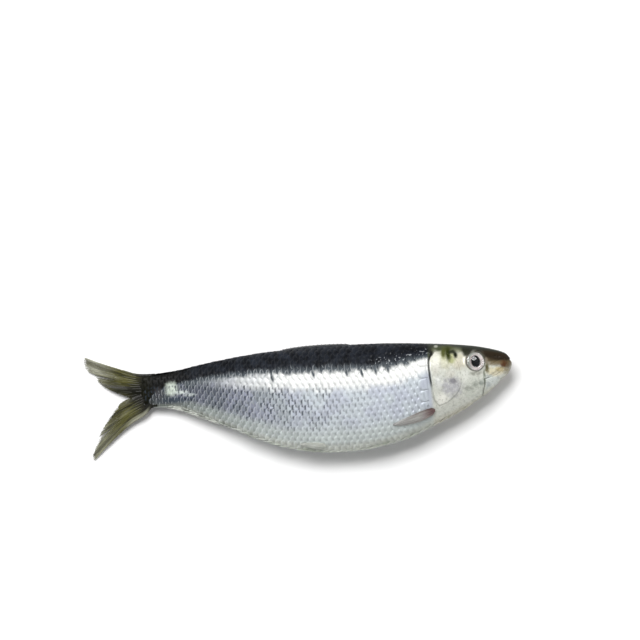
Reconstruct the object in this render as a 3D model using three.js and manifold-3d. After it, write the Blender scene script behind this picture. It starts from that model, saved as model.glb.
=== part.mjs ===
// A whole fresh sardine lying on its left flank, in millimetres.
//
// The snout points along +X, the back along +Y and the right flank faces up, +Z. The origin is the
// middle of the fish's bounding box, on the surface that it lies on.
//
// Places on the fish are given the way a fish is measured: a station is a distance back from the
// snout, and a level is a share of the local depth, from 0 on the belly to 1 on the back.
import * as THREE from "three";
import { mergeVertices } from "three/addons/utils/BufferGeometryUtils.js";
import Module from "manifold-3d";

const wasm = await Module();
wasm.setup();

// ---- Driving dimensions ----
const BODY_LENGTH = 145; // snout tip to the root of the tail fin
const BODY_DEPTH = 41.8; // back to belly
const BODY_WIDTH = 21.6; // flank to flank
const HEAD_LENGTH = 33; // snout tip to the gill cover's rear edge
const NOSE_LENGTH = 2.6; // the rounded tip of the snout
const PRESSED_DEPTH = 0.6; // how far the lower flank is pressed flat by the fish's weight
const GAP = 0.3; // clearance between neighbouring pieces

const EYE_DIAMETER = 7.6;
const EYE_THICKNESS = 4.4;
const EYE_BULGE = 0.8; // how far the eye stands out of the head

const PLATE_THICKNESS = 0.9; // a gill cover, with its bone and skin
const PLATE_RAISE = 0.3; // how far a gill cover's face stands over the flank
const LIP_THICKNESS = 0.7; // an upper jaw plate
const LIP_RAISE = 0.25;

const PECTORAL_LENGTH = 17;
const PECTORAL_WIDTH = 3.6; // folded
const PELVIC_LENGTH = 10;
const PELVIC_WIDTH = 2.4; // folded
const FIN_THICKNESS = 0.5; // a folded paired fin

const DORSAL_BEHIND_HEAD = 29; // the gill cover's rear edge to the dorsal fin's front end
const DORSAL_LENGTH = 29;
const DORSAL_HEIGHT = 1; // folded
const ANAL_BEFORE_TAIL = 5; // the anal fin's rear end to the root of the tail fin
const ANAL_LENGTH = 26;
const ANAL_HEIGHT = 1.3; // folded
const RIDGE_THICKNESS = 1.2; // a folded dorsal or anal fin

const TAIL_LENGTH = 25.7; // root to lobe tips
const UPPER_LOBE_RISE = 15.8; // lobe tips above and below the fish's axis
const LOWER_LOBE_DROP = 25.4;
const TAIL_ROOT_THICKNESS = 2;
const TAIL_TIP_THICKNESS = 0.5;
const TAIL_TIP_CLEARANCE = 0.3; // under the lobe tips, which all but touch the surface

// ---- Smooth curves through a few points ----

// A smooth function through [place, value] pairs, flat past both ends.
function through(points) {
  const slopes = points.map((_, i) => {
    const [before, low] = points[Math.max(i - 1, 0)];
    const [after, high] = points[Math.min(i + 1, points.length - 1)];
    return (high - low) / (after - before);
  });
  return (place) => {
    let i = 0;
    while (i < points.length - 2 && place > points[i + 1][0]) i++;
    const [start, from] = points[i];
    const [end, to] = points[i + 1];
    const span = end - start;
    const u = THREE.MathUtils.clamp((place - start) / span, 0, 1);
    const v = 1 - u;
    const straight = from * v * v * (1 + 2 * u) + to * u * u * (1 + 2 * v);
    return straight + span * u * v * (slopes[i] * v - slopes[i + 1] * u);
  };
}

// ---- The body's form: shares of the length against shares of the depth or width ----
const backLine = through([
  [0, 0.057], [0.021, 0.105], [0.055, 0.148], [0.11, 0.194], [0.2, 0.237], [0.3, 0.27], [0.4, 0.289],
  [0.52, 0.298], [0.65, 0.291], [0.75, 0.266], [0.85, 0.224], [0.925, 0.183], [1, 0.161],
]);
const bellyLine = through([
  [0, 0.077], [0.03, 0.149], [0.08, 0.287], [0.14, 0.397], [0.22, 0.519], [0.3, 0.627], [0.39, 0.69],
  [0.47, 0.706], [0.55, 0.69], [0.63, 0.632], [0.71, 0.529], [0.8, 0.373], [0.87, 0.249],
  [0.925, 0.168], [1, 0.139],
]);
const widthLine = through([
  [0, 0.16], [0.02, 0.27], [0.055, 0.44], [0.1, 0.61], [0.165, 0.77], [0.23, 0.87], [0.31, 0.955],
  [0.41, 1], [0.52, 0.985], [0.62, 0.88], [0.72, 0.69], [0.82, 0.49], [0.91, 0.31], [1, 0.17],
]);
// The spine's height over the surface: the head and, more, the tail sag towards it.
const spineLine = through([
  [0, 0.8], [0.1, 0.88], [0.25, 0.97], [0.4, 1], [0.55, 0.985], [0.7, 0.87], [0.85, 0.62], [1, 0.34],
]);
const BELLY_POWER = 0.66; // the section's outline: near a keel at the belly, round at the back
const BACK_POWER = 0.5;

const SPINE_HEIGHT = BODY_WIDTH / 2 - PRESSED_DEPTH;
const share = (station) => THREE.MathUtils.clamp(station / BODY_LENGTH, 0, 1);
const nose = (station) =>
  station < NOSE_LENGTH ? Math.sqrt(1 - (1 - Math.max(station, 0) / NOSE_LENGTH) ** 2) : 1;
const back = (station) => BODY_DEPTH * backLine(share(station)) * nose(station);
const belly = (station) => -BODY_DEPTH * bellyLine(share(station)) * nose(station);
const spine = (station) => SPINE_HEIGHT * spineLine(share(station));
const height = (station, level) => THREE.MathUtils.lerp(belly(station), back(station), level);

// Half the body's width at a station and level.
function halfWidth(station, level) {
  const widest = BELLY_POWER / (BELLY_POWER + BACK_POWER);
  const l = THREE.MathUtils.clamp(level, 0, 1);
  const outline = (l / widest) ** BELLY_POWER * ((1 - l) / (1 - widest)) ** BACK_POWER;
  return (BODY_WIDTH / 2) * widthLine(share(station)) * nose(station) * outline;
}

// A point on the right flank, raised off it by a distance along its normal.
function flank(station, level, raise = 0) {
  const at = (s, l) => new THREE.Vector3(-s, height(s, l), spine(s) + halfWidth(s, l));
  const point = at(station, level);
  const [ds, dl] = [0.05, 0.002];
  const along = at(station - ds, level).sub(at(station + ds, level));
  const up = at(station, level + dl).sub(at(station, level - dl));
  return point.addScaledVector(along.cross(up).normalize(), raise);
}
const flankNormal = (station, level) =>
  flank(station, level, 1).sub(flank(station, level)).normalize();

// ---- Solids ----

// A geometry as a solid that can be cut and joined.
function solidOf(geometry) {
  const bare = geometry.clone();
  for (const name of Object.keys(bare.attributes)) if (name !== "position") bare.deleteAttribute(name);
  const merged = mergeVertices(bare, 1e-4);
  return new wasm.Manifold(
    new wasm.Mesh({
      numProp: 3,
      vertProperties: new Float32Array(merged.attributes.position.array),
      triVerts: new Uint32Array(merged.index.array),
    }),
  );
}

// A solid back as a geometry.
function geometryOf(solid) {
  const mesh = solid.getMesh();
  const geometry = new THREE.BufferGeometry();
  geometry.setAttribute("position", new THREE.BufferAttribute(mesh.vertProperties, 3));
  geometry.setIndex(new THREE.BufferAttribute(mesh.triVerts, 1));
  return geometry;
}

// The triangles of a closed grid whose columns run round a ring, with an end fan on each end ring.
function ringGeometry(rings) {
  const [rows, columns] = [rings.length, rings[0].length];
  const points = rings.flat();
  const index = [];
  for (let i = 0; i < rows - 1; i++)
    for (let j = 0; j < columns; j++) {
      const k = (j + 1) % columns;
      const [a, b, c, d] = [i * columns + j, i * columns + k, (i + 1) * columns + k, (i + 1) * columns + j];
      index.push(a, b, c, a, c, d);
    }
  for (const [row, turned] of [[0, false], [rows - 1, true]]) {
    const middle = rings[row].reduce((sum, p) => sum.add(p), new THREE.Vector3());
    points.push(middle.divideScalar(columns));
    for (let j = 0; j < columns; j++) {
      const [a, b] = [row * columns + j, row * columns + ((j + 1) % columns)];
      index.push(points.length - 1, turned ? a : b, turned ? b : a);
    }
  }
  return new THREE.BufferGeometry().setFromPoints(points).setIndex(index);
}

// The left twin of a piece on the right: each point reflected through the spine.
function leftTwin(geometry) {
  const twin = geometry.toNonIndexed();
  const place = twin.attributes.position;
  for (let i = 0; i < place.count; i++)
    place.setZ(i, 2 * spine(-place.getX(i)) - place.getZ(i));
  const read = place.clone();
  for (let i = 0; i < place.count; i += 3) {
    place.setXYZ(i + 1, read.getX(i + 2), read.getY(i + 2), read.getZ(i + 2));
    place.setXYZ(i + 2, read.getX(i + 1), read.getY(i + 1), read.getZ(i + 1));
  }
  return twin;
}

// A plate that follows the right flank between two edges, each a curve of (station, level). They run
// the same way, and the second lies behind a first that runs down, or above a first that runs back.
// Its faces are at two raises off the flank, and margin grows it all round.
const PLATE_STEPS = { across: 6, along: 14 };
function flankPlate(firstEdge, secondEdge, innerRaise, outerRaise, margin = 0, steps = PLATE_STEPS) {
  const curve = (edge) => new THREE.SplineCurve(edge.map(([s, l]) => new THREE.Vector2(s, l)));
  const [first, second] = [curve(firstEdge), curve(secondEdge)];
  const middle = first.getPoint(0.5).lerp(second.getPoint(0.5), 0.5);
  const depth = back(middle.x) - belly(middle.x);
  const grown = (point) => {
    const away = new THREE.Vector2(point.x - middle.x, (point.y - middle.y) * depth);
    const far = away.length();
    if (far > 0) away.multiplyScalar((far + margin * Math.SQRT2) / far);
    return [middle.x + away.x, THREE.MathUtils.clamp(middle.y + away.y / depth, 0.005, 0.995)];
  };
  const rings = [];
  for (let i = 0; i <= steps.along; i++) {
    const u = i / steps.along;
    const face = (raise, order) =>
      order.map((j) => {
        const point = first.getPoint(u).lerp(second.getPoint(u), j / steps.across);
        return flank(...grown(point), raise);
      });
    const order = [...Array(steps.across + 1).keys()];
    rings.push([...face(outerRaise + margin, order), ...face(innerRaise - margin, order.reverse())]);
  }
  return ringGeometry(rings);
}

// A fin in the plane of the spine, from its outline and its thickness, which narrows with distance.
function medianFin(shape, thicknessAt, middleAt) {
  const geometry = new THREE.ExtrudeGeometry(shape, { depth: 1, bevelEnabled: false, curveSegments: 6 });
  const place = geometry.attributes.position;
  for (let i = 0; i < place.count; i++) {
    const station = -place.getX(i);
    place.setZ(i, middleAt(station) + (place.getZ(i) - 0.5) * thicknessAt(station));
  }
  return geometry;
}

// ---- Body, with its mouth, eye sockets and gill cover seats cut in ----
const STATIONS = 48;
const ROUND = 36;

function bodyEnvelope() {
  const rings = [];
  for (let i = 0; i <= STATIONS; i++) {
    const u = (i + 0.2) / (STATIONS + 0.2);
    const station = BODY_LENGTH * u * (0.45 + 0.55 * u); // closer together at the snout
    const ring = [];
    for (let j = 0; j < ROUND; j++) {
      const angle = (2 * Math.PI * j) / ROUND;
      const level = (1 - Math.cos(angle)) / 2;
      const side = Math.sign(Math.round(1e6 * Math.sin(angle)));
      const z = spine(station) + side * halfWidth(station, level);
      ring.push(new THREE.Vector3(-station, height(station, level), z));
    }
    rings.push(ring);
  }
  return solidOf(ringGeometry(rings));
}

// Everything under the surface, which presses the lower flank flat.
function surfaceBlock() {
  const block = new THREE.BoxGeometry(2 * BODY_LENGTH, 3 * BODY_DEPTH, BODY_WIDTH);
  return solidOf(block.translate(-BODY_LENGTH / 2, 0, -BODY_WIDTH / 2));
}

const headStation = (headShare) => headShare * HEAD_LENGTH;
const onHead = (points) => points.map(([h, level]) => [headStation(h), level]);

// The mouth: steep at the front, then back along the lower jaw to the jaw's joint under the eye.
const MOUTH_LINE = [[0.036, 0.82], [0.06, 0.56], [0.1, 0.36], [0.17, 0.27], [0.25, 0.29], [0.34, 0.32]];
const JAW_JOINT = [[0.345, 0.2], [0.385, 0]];

// The block that the lower jaw is cut from, running right across the head. The margin moves its
// upper and rear faces into the skull.
function jawBlock(margin) {
  const place = ([h, level]) => new THREE.Vector2(-headStation(h), height(headStation(h), level));
  const mouth = MOUTH_LINE.map(place);
  const joint = JAW_JOINT.map(place);
  const shape = new THREE.Shape();
  shape.moveTo(BODY_WIDTH / 2, mouth[0].y + margin);
  shape.lineTo(mouth[0].x - margin / 2, mouth[0].y + margin);
  shape.splineThru(mouth.slice(1).map((p) => new THREE.Vector2(p.x - margin / 2, p.y + margin)));
  for (const p of joint) shape.lineTo(p.x - margin, p.y);
  shape.lineTo(joint.at(-1).x - margin, -BODY_DEPTH);
  shape.lineTo(BODY_WIDTH / 2, -BODY_DEPTH);
  shape.closePath();
  const block = new THREE.ExtrudeGeometry(shape, { depth: 2 * BODY_WIDTH, bevelEnabled: false });
  return solidOf(block.translate(0, 0, -BODY_WIDTH / 2));
}

const EYE_STATION = headStation(0.445);
const EYE_LEVEL = 0.715;

function eye(margin) {
  const ball = new THREE.SphereGeometry(EYE_DIAMETER / 2 + margin, 20, 12);
  ball.rotateX(Math.PI / 2);
  ball.scale(1, 1, (EYE_THICKNESS + 2 * margin) / (EYE_DIAMETER + 2 * margin));
  const turn = new THREE.Quaternion().setFromUnitVectors(
    new THREE.Vector3(0, 0, 1),
    flankNormal(EYE_STATION, EYE_LEVEL),
  );
  ball.applyQuaternion(turn);
  const centre = flank(EYE_STATION, EYE_LEVEL, EYE_BULGE - EYE_THICKNESS / 2);
  return ball.translate(centre.x, centre.y, centre.z);
}

// The gill cover: a curved front edge on the cheek and a free rear edge over the shoulder.
const GILL_FRONT = onHead([[0.79, 0.87], [0.68, 0.78], [0.64, 0.6], [0.64, 0.42], [0.7, 0.28], [0.82, 0.21]]);
const GILL_REAR = onHead([[0.93, 0.885], [0.995, 0.8], [1, 0.64], [0.985, 0.45], [0.97, 0.3], [0.93, 0.21]]);
const gillCover = (margin) =>
  flankPlate(GILL_FRONT, GILL_REAR, PLATE_RAISE - PLATE_THICKNESS, PLATE_RAISE, margin);

// The upper jaw plate, from the snout to its round end under the front of the eye.
const LIP_UPPER = onHead([[0.085, 0.74], [0.15, 0.69], [0.235, 0.62], [0.31, 0.55], [0.352, 0.46]]);
const LIP_LOWER = onHead([[0.082, 0.62], [0.125, 0.47], [0.2, 0.38], [0.28, 0.36], [0.345, 0.4]]);
const LIP_STEPS = { across: 3, along: 10 };
const upperJaw = (margin) =>
  flankPlate(LIP_LOWER, LIP_UPPER, LIP_RAISE - LIP_THICKNESS, LIP_RAISE, margin, LIP_STEPS);

function addHeadAndBody(add) {
  const envelope = bodyEnvelope().subtract(surfaceBlock());
  let skull = envelope.subtract(jawBlock(GAP));
  let lowerJaw = envelope.intersect(jawBlock(0));
  for (const piece of [eye, gillCover, upperJaw])
    for (const sided of [(g) => g, leftTwin]) {
      const seat = solidOf(sided(piece(GAP)));
      skull = skull.subtract(seat);
      lowerJaw = lowerJaw.subtract(seat);
    }
  const largest = (solid) =>
    solid.decompose().reduce((best, part) => (part.volume() > best.volume() ? part : best));
  add("body", "skin", geometryOf(largest(skull)));
  add("lower_jaw", "head_bone", geometryOf(largest(lowerJaw)));
  addPair(add, "eye", "eye", eye(0));
  addPair(add, "gill_cover", "gill_bone", gillCover(0));
  addPair(add, "upper_jaw", "head_bone", upperJaw(0));
}

function addPair(add, name, finish, right) {
  add("right_" + name, finish, right);
  add("left_" + name, finish, leftTwin(right));
}

// ---- Paired fins, folded against the body ----

// A fin that lies along the flank from its root, a narrow blade with its widest place near the root.
function foldedFin(root, length, width) {
  const depth = (station) => back(station) - belly(station);
  const edge = (sign) =>
    [[0, 0.3], [0.15, 0.46], [0.4, 0.5], [0.75, 0.34], [1, 0.08]].map(([along, half]) => {
      const station = root.station + along * length;
      return [station, root.level + (sign * half * width) / depth(station)];
    });
  const steps = { across: 2, along: 10 };
  return flankPlate(edge(-1), edge(1), GAP, GAP + FIN_THICKNESS, 0, steps);
}

const PECTORAL_ROOT = { station: headStation(0.985), level: 0.178 };
const PELVIC_ROOT = { station: 0.53 * BODY_LENGTH, level: 0.055 };

function addPairedFins(add) {
  addPair(add, "pectoral_fin", "fin", foldedFin(PECTORAL_ROOT, PECTORAL_LENGTH, PECTORAL_WIDTH));
  addPair(add, "pelvic_fin", "fin", foldedFin(PELVIC_ROOT, PELVIC_LENGTH, PELVIC_WIDTH));
}

// ---- Fins on the body's outline ----

// A folded fin along the outline: it rises behind its first ray, and its longest rays end in a point.
function ridgeFin(start, length, rise, outline) {
  const steps = 14;
  const along = (u) => start + u * length;
  const crest = through([[0, 0.15], [0.25, 0.7], [0.6, 1], [0.85, 0.75], [1, 0.2]]);
  const away = Math.sign(outline(start));
  const edge = (u, off) => new THREE.Vector2(-along(u), outline(along(u)) + away * off);
  const shares = [...Array(steps + 1).keys()].map((i) => i / steps);
  const root = shares.map((u) => edge(u, GAP));
  const crown = shares.map((u) => edge(u, GAP + rise * crest(u))).reverse();
  return medianFin(new THREE.Shape([...root, ...crown]), () => RIDGE_THICKNESS, spine);
}

// The tail fin: two swept lobes, each with one split between its rays. Places are [share of the
// fin's length, share of that lobe's rise or drop].
const UPPER_EDGE = [[0.2, 0.465], [0.42, 0.605], [0.68, 0.775], [0.97, 1]];
const UPPER_END = [[0.995, 0.95], [0.99, 0.7], [0.92, 0.6]];
const UPPER_SPLIT = [[0.81, 0.505], [0.6, 0.47], [0.81, 0.46]];
const UPPER_INNER = [[0.8, 0.36], [0.69, 0.21], [0.56, 0.06]];
const FORK = [[0.4, -0.07], [0.31, -0.078]];
const LOWER_INNER = [[0.45, -0.12], [0.56, -0.22], [0.66, -0.345], [0.74, -0.45], [0.82, -0.58]];
const LOWER_SPLIT = [[0.85, -0.655], [0.67, -0.57], [0.87, -0.69]];
const LOWER_END = [[0.94, -0.83], [0.985, -0.99], [0.955, -1]];
const LOWER_EDGE = [[0.86, -0.91], [0.72, -0.78], [0.58, -0.655], [0.44, -0.545], [0.3, -0.445], [0.12, -0.35]];

const TAIL_ROOT = BODY_LENGTH + GAP;

function tailFin() {
  const place = ([along, across]) => {
    const reach = across > 0 ? UPPER_LOBE_RISE : LOWER_LOBE_DROP;
    return new THREE.Vector2(-(TAIL_ROOT + along * TAIL_LENGTH), across * reach);
  };
  const shape = new THREE.Shape();
  shape.moveTo(-TAIL_ROOT, back(BODY_LENGTH));
  shape.splineThru(UPPER_EDGE.map(place));
  for (const p of [...UPPER_END, ...UPPER_SPLIT, ...UPPER_INNER, ...FORK].map(place)) shape.lineTo(p.x, p.y);
  shape.splineThru(LOWER_INNER.map(place));
  for (const p of [...LOWER_SPLIT, ...LOWER_END].map(place)) shape.lineTo(p.x, p.y);
  shape.splineThru(LOWER_EDGE.map(place));
  shape.lineTo(-TAIL_ROOT, belly(BODY_LENGTH));
  shape.closePath();
  const reach = (station) => THREE.MathUtils.clamp((station - TAIL_ROOT) / TAIL_LENGTH, 0, 1);
  const thickness = (s) => THREE.MathUtils.lerp(TAIL_ROOT_THICKNESS, TAIL_TIP_THICKNESS, Math.sqrt(reach(s)));
  const tipHeight = TAIL_TIP_CLEARANCE + TAIL_TIP_THICKNESS / 2;
  const middle = (s) => THREE.MathUtils.lerp(spine(BODY_LENGTH), tipHeight, reach(s));
  return medianFin(shape, thickness, middle);
}

// ---- The fish ----
const FINISHES = {
  skin: { color: 0xa9b1b6, roughness: 0.3, metalness: 0.35 },
  gill_bone: { color: 0xdcdcd2, roughness: 0.3, metalness: 0.3 },
  head_bone: { color: 0xb3a98b, roughness: 0.4, metalness: 0.1 },
  eye: { color: 0x25282a, roughness: 0.08, metalness: 0 },
  fin: { color: 0x8d9078, roughness: 0.5, metalness: 0 },
};
const materials = Object.fromEntries(
  Object.entries(FINISHES).map(([name, look]) => [name, new THREE.MeshStandardMaterial({ name, ...look })]),
);

const sardine = new THREE.Group();
function add(name, finish, geometry) {
  const mesh = new THREE.Mesh(geometry, materials[finish]);
  mesh.name = name;
  sardine.add(mesh);
}

addHeadAndBody(add);
addPairedFins(add);
const dorsalStart = HEAD_LENGTH + DORSAL_BEHIND_HEAD;
const analStart = BODY_LENGTH - ANAL_BEFORE_TAIL - ANAL_LENGTH;
add("dorsal_fin", "fin", ridgeFin(dorsalStart, DORSAL_LENGTH, DORSAL_HEIGHT, back));
add("anal_fin", "fin", ridgeFin(analStart, ANAL_LENGTH, ANAL_HEIGHT, belly));
add("tail_fin", "fin", tailFin());

// The origin goes to the middle of the box, on the surface.
const box = new THREE.Box3().setFromObject(sardine);
const middle = box.getCenter(new THREE.Vector3());
sardine.position.set(-middle.x, -middle.y, -box.min.z);

export default sardine;
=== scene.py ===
"""A whole fresh sardine lying on its left flank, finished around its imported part.

Fish places are in millimetres: a station is a distance back from the snout, a rise is a height over
the fish's axis towards its back, and z is a height over the surface. A level is a share of the
local depth, from 0 on the belly to 1 on the back. The side is 1 on the right flank, which faces up,
and -1 on the left.
"""
import math

import bmesh
import bpy
import numpy as np
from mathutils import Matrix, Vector, noise


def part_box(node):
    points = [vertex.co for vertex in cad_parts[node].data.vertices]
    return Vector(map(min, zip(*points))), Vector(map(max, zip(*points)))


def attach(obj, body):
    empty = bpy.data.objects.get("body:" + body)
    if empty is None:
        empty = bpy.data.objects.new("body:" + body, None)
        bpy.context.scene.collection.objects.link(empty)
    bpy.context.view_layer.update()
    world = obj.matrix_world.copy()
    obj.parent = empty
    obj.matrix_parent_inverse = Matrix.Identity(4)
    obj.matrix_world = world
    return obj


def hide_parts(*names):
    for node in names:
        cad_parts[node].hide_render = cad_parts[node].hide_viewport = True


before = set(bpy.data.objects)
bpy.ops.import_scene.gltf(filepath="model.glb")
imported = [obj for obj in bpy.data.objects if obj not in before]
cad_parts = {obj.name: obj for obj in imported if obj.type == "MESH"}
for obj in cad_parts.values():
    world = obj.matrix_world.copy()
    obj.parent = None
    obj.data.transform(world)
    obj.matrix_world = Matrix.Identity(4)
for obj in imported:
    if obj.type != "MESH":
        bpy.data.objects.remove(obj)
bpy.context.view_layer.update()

# ---- Driving dimensions, in millimetres ----
MM = 0.001
BODY_LENGTH = 145.0
BODY_DEPTH = 41.8
BODY_WIDTH = 21.6
HEAD_LENGTH = 33.0
NOSE_LENGTH = 2.6
PRESSED_DEPTH = 0.6
GAP = 0.3
ROOT_SLEEVE = 7.5  # the skin that runs on over the tail fin's root
SETTLE_SOFTNESS = 0.25  # how gently the lower flank flattens on the surface

EYE_RADIUS = 3.8
EYE_SHADE_TURN = 0.4  # turns the iris's grey side to the rear
PLATE_THICKNESS = 0.9
PLATE_RAISE = 0.3
LIP_THICKNESS = 0.7
LIP_RAISE = 0.25
JAW_THICKNESS = 1.1

TAIL_LENGTH = 25.7
UPPER_LOBE_RISE = 15.8
LOWER_LOBE_DROP = 25.4
TAIL_TIP_HEIGHT = 0.55

SCALE_LENGTH = 4.57
SCALE_HEIGHT = 4.85
SCALE_PITCH = 2.5  # between neighbours in a row
ROW_PITCH = 2.3
REAR_ROUNDNESS = 0.34  # how much shorter a scale is at its upper and lower corners
REAR_POWER = 2.8
FIRST_SCALE = HEAD_LENGTH + 0.9

# The snout's tip and the fish's axis in the row frame.
ORIGIN = np.array([
    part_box("lower_jaw")[1].x,
    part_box("tail_fin")[1].y - UPPER_LOBE_RISE * MM,
    0.0,
])


# ---- Smooth curves and steps ----
def through(points):
    """A smooth function through (place, value) pairs, flat past both ends."""
    places, values = np.array(points, float).T
    count = len(places)
    before = np.maximum(np.arange(count) - 1, 0)
    after = np.minimum(np.arange(count) + 1, count - 1)
    slopes = (values[after] - values[before]) / (places[after] - places[before])

    def curve(place):
        i = np.clip(np.searchsorted(places, place, side="right") - 1, 0, count - 2)
        span = places[i + 1] - places[i]
        u = np.clip((place - places[i]) / span, 0, 1)
        v = 1 - u
        straight = values[i] * v * v * (1 + 2 * u) + values[i + 1] * u * u * (1 + 2 * v)
        return straight + span * u * v * (slopes[i] * v - slopes[i + 1] * u)

    return curve


def spline(points, count):
    """Points at even parameters along a smooth curve through the given points."""
    points = np.array(points, float)
    at = np.linspace(0, len(points) - 1, count)
    i = np.minimum(at.astype(int), len(points) - 2)
    t = (at - i)[:, None]
    last = len(points) - 1
    p0, p1 = points[np.maximum(i - 1, 0)], points[i]
    p2, p3 = points[i + 1], points[np.minimum(i + 2, last)]
    bend = (2 * p0 - 5 * p1 + 4 * p2 - p3) * t**2 + (3 * (p1 - p2) + p3 - p0) * t**3
    return (2 * p1 + (p2 - p0) * t + bend) / 2


def ease(value, low, high):
    """A smooth step from 0 at low to 1 at high."""
    u = np.clip((value - low) / (high - low), 0, 1)
    return u * u * (3 - 2 * u)


def swell(distance, width):
    """A round bump, 1 at no distance."""
    return np.exp(-((distance / width) ** 2))


# ---- The body's form, as in the part ----
back_line = through([
    (0, 0.057), (0.021, 0.105), (0.055, 0.148), (0.11, 0.194), (0.2, 0.237), (0.3, 0.27),
    (0.4, 0.289), (0.52, 0.298), (0.65, 0.291), (0.75, 0.266), (0.85, 0.224), (0.925, 0.183),
    (1, 0.161),
])
belly_line = through([
    (0, 0.077), (0.03, 0.149), (0.08, 0.287), (0.14, 0.397), (0.22, 0.519), (0.3, 0.627),
    (0.39, 0.69), (0.47, 0.706), (0.55, 0.69), (0.63, 0.632), (0.71, 0.529), (0.8, 0.373),
    (0.87, 0.249), (0.925, 0.168), (1, 0.139),
])
width_line = through([
    (0, 0.16), (0.02, 0.27), (0.055, 0.44), (0.1, 0.61), (0.165, 0.77), (0.23, 0.87),
    (0.31, 0.955), (0.41, 1), (0.52, 0.985), (0.62, 0.88), (0.72, 0.69), (0.82, 0.49),
    (0.91, 0.31), (1, 0.17),
])
spine_line = through([
    (0, 0.8), (0.1, 0.88), (0.25, 0.97), (0.4, 1), (0.55, 0.985), (0.7, 0.87), (0.85, 0.62),
    (1, 0.34),
])
BELLY_POWER = 0.66
BACK_POWER = 0.5
SPINE_HEIGHT = BODY_WIDTH / 2 - PRESSED_DEPTH


def share(station):
    return np.clip(station / BODY_LENGTH, 0, 1)


def nose(station):
    """How far the rounded snout has opened out."""
    u = np.clip(station / NOSE_LENGTH, 0, 1)
    return np.sqrt(1 - (1 - u) ** 2)


def sleeve(station):
    """How far the skin has run out over the tail fin's root."""
    return np.clip((station - BODY_LENGTH) / ROOT_SLEEVE, 0, 1)


def back(station):
    return BODY_DEPTH * back_line(share(station)) * nose(station) * (1 - 0.12 * sleeve(station) ** 2)


def belly(station):
    return -BODY_DEPTH * belly_line(share(station)) * nose(station) * (1 - 0.12 * sleeve(station) ** 2)


def spine(station):
    droop = (SPINE_HEIGHT * spine_line(1.0) - TAIL_TIP_HEIGHT) / TAIL_LENGTH
    return SPINE_HEIGHT * spine_line(share(station)) - droop * np.maximum(station - BODY_LENGTH - GAP, 0)


def rise_at(station, level):
    return belly(station) + level * (back(station) - belly(station))


def level_at(station, rise):
    low, high = belly(station), back(station)
    return np.clip((rise - low) / np.maximum(high - low, 0.01), 0, 1)


def half_width(station, level):
    widest = BELLY_POWER / (BELLY_POWER + BACK_POWER)
    level = np.clip(level, 0, 1)
    outline = (level / widest) ** BELLY_POWER * ((1 - level) / (1 - widest)) ** BACK_POWER
    thin = 1 - 0.96 * ease(sleeve(station), -0.2, 0.8)
    return BODY_WIDTH / 2 * width_line(share(station)) * nose(station) * thin * outline


def skin(station, around):
    """Points on the body. Around is an angle: 0 on the belly, pi on the back by the right flank."""
    level = (1 - np.cos(around)) / 2
    z = spine(station) + np.sign(np.sin(around)) * half_width(station, level)
    return np.stack([-station, rise_at(station, level), z], axis=-1)


def around_at(level, side=1):
    return side * np.arccos(1 - 2 * np.clip(level, 0, 1))


def skin_normal(station, around):
    ds, da = 0.04, 0.004
    along = skin(station - ds, around) - skin(station + ds, around)
    up = skin(station, around + da) - skin(station, around - da)
    normal = np.cross(along, up)
    return normal / np.maximum(np.linalg.norm(normal, axis=-1, keepdims=True), 1e-9)


def raised(station, around, raise_):
    """Points off the body by a distance along its normal."""
    return skin(station, around) + skin_normal(station, around) * np.asarray(raise_)[..., None]


# ---- Outlines on the head, as (station, level) and as (station, rise) ----
def on_head(points):
    return [(share_ * HEAD_LENGTH, level) for share_, level in points]


MOUTH_LINE = on_head([(0.036, 0.82), (0.06, 0.56), (0.1, 0.36), (0.17, 0.27), (0.25, 0.29), (0.34, 0.32)])
JAW_JOINT = on_head([(0.345, 0.2), (0.385, 0)])
GILL_FRONT = on_head([(0.79, 0.87), (0.68, 0.78), (0.64, 0.6), (0.64, 0.42), (0.7, 0.28), (0.82, 0.21)])
GILL_REAR = on_head([(0.93, 0.885), (0.995, 0.8), (1, 0.64), (0.985, 0.45), (0.97, 0.3), (0.93, 0.21)])
LIP_UPPER = on_head([(0.085, 0.74), (0.15, 0.69), (0.235, 0.62), (0.31, 0.55), (0.352, 0.46)])
LIP_LOWER = on_head([(0.082, 0.62), (0.125, 0.47), (0.2, 0.38), (0.28, 0.36), (0.345, 0.4)])
EYE_STATION = 0.445 * HEAD_LENGTH
EYE_LEVEL = 0.715
EYE_RISE = float(rise_at(EYE_STATION, EYE_LEVEL))
NOSTRILS = ((5.4, 2.75), (6.5, 3.1))  # (station, rise) of the front and rear openings


def flat(edge):
    """An edge given in levels as smooth (station, rise) points."""
    points = spline(edge, 24)
    return np.stack([points[:, 0], rise_at(points[:, 0], points[:, 1])], axis=-1)


def plate_outline(first, second):
    return np.concatenate([flat(first), flat(second)[::-1]])


GILL_OUTLINE = plate_outline(GILL_FRONT, GILL_REAR)
LIP_OUTLINE = plate_outline(LIP_LOWER, LIP_UPPER)
JAW_OUTLINE = np.concatenate([
    [(-9.0, float(rise_at(*MOUTH_LINE[0])))],
    flat(MOUTH_LINE),
    [(s, float(rise_at(s, level))) for s, level in JAW_JOINT],
    [(JAW_JOINT[-1][0], -30.0), (-9.0, -30.0)],
])


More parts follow.
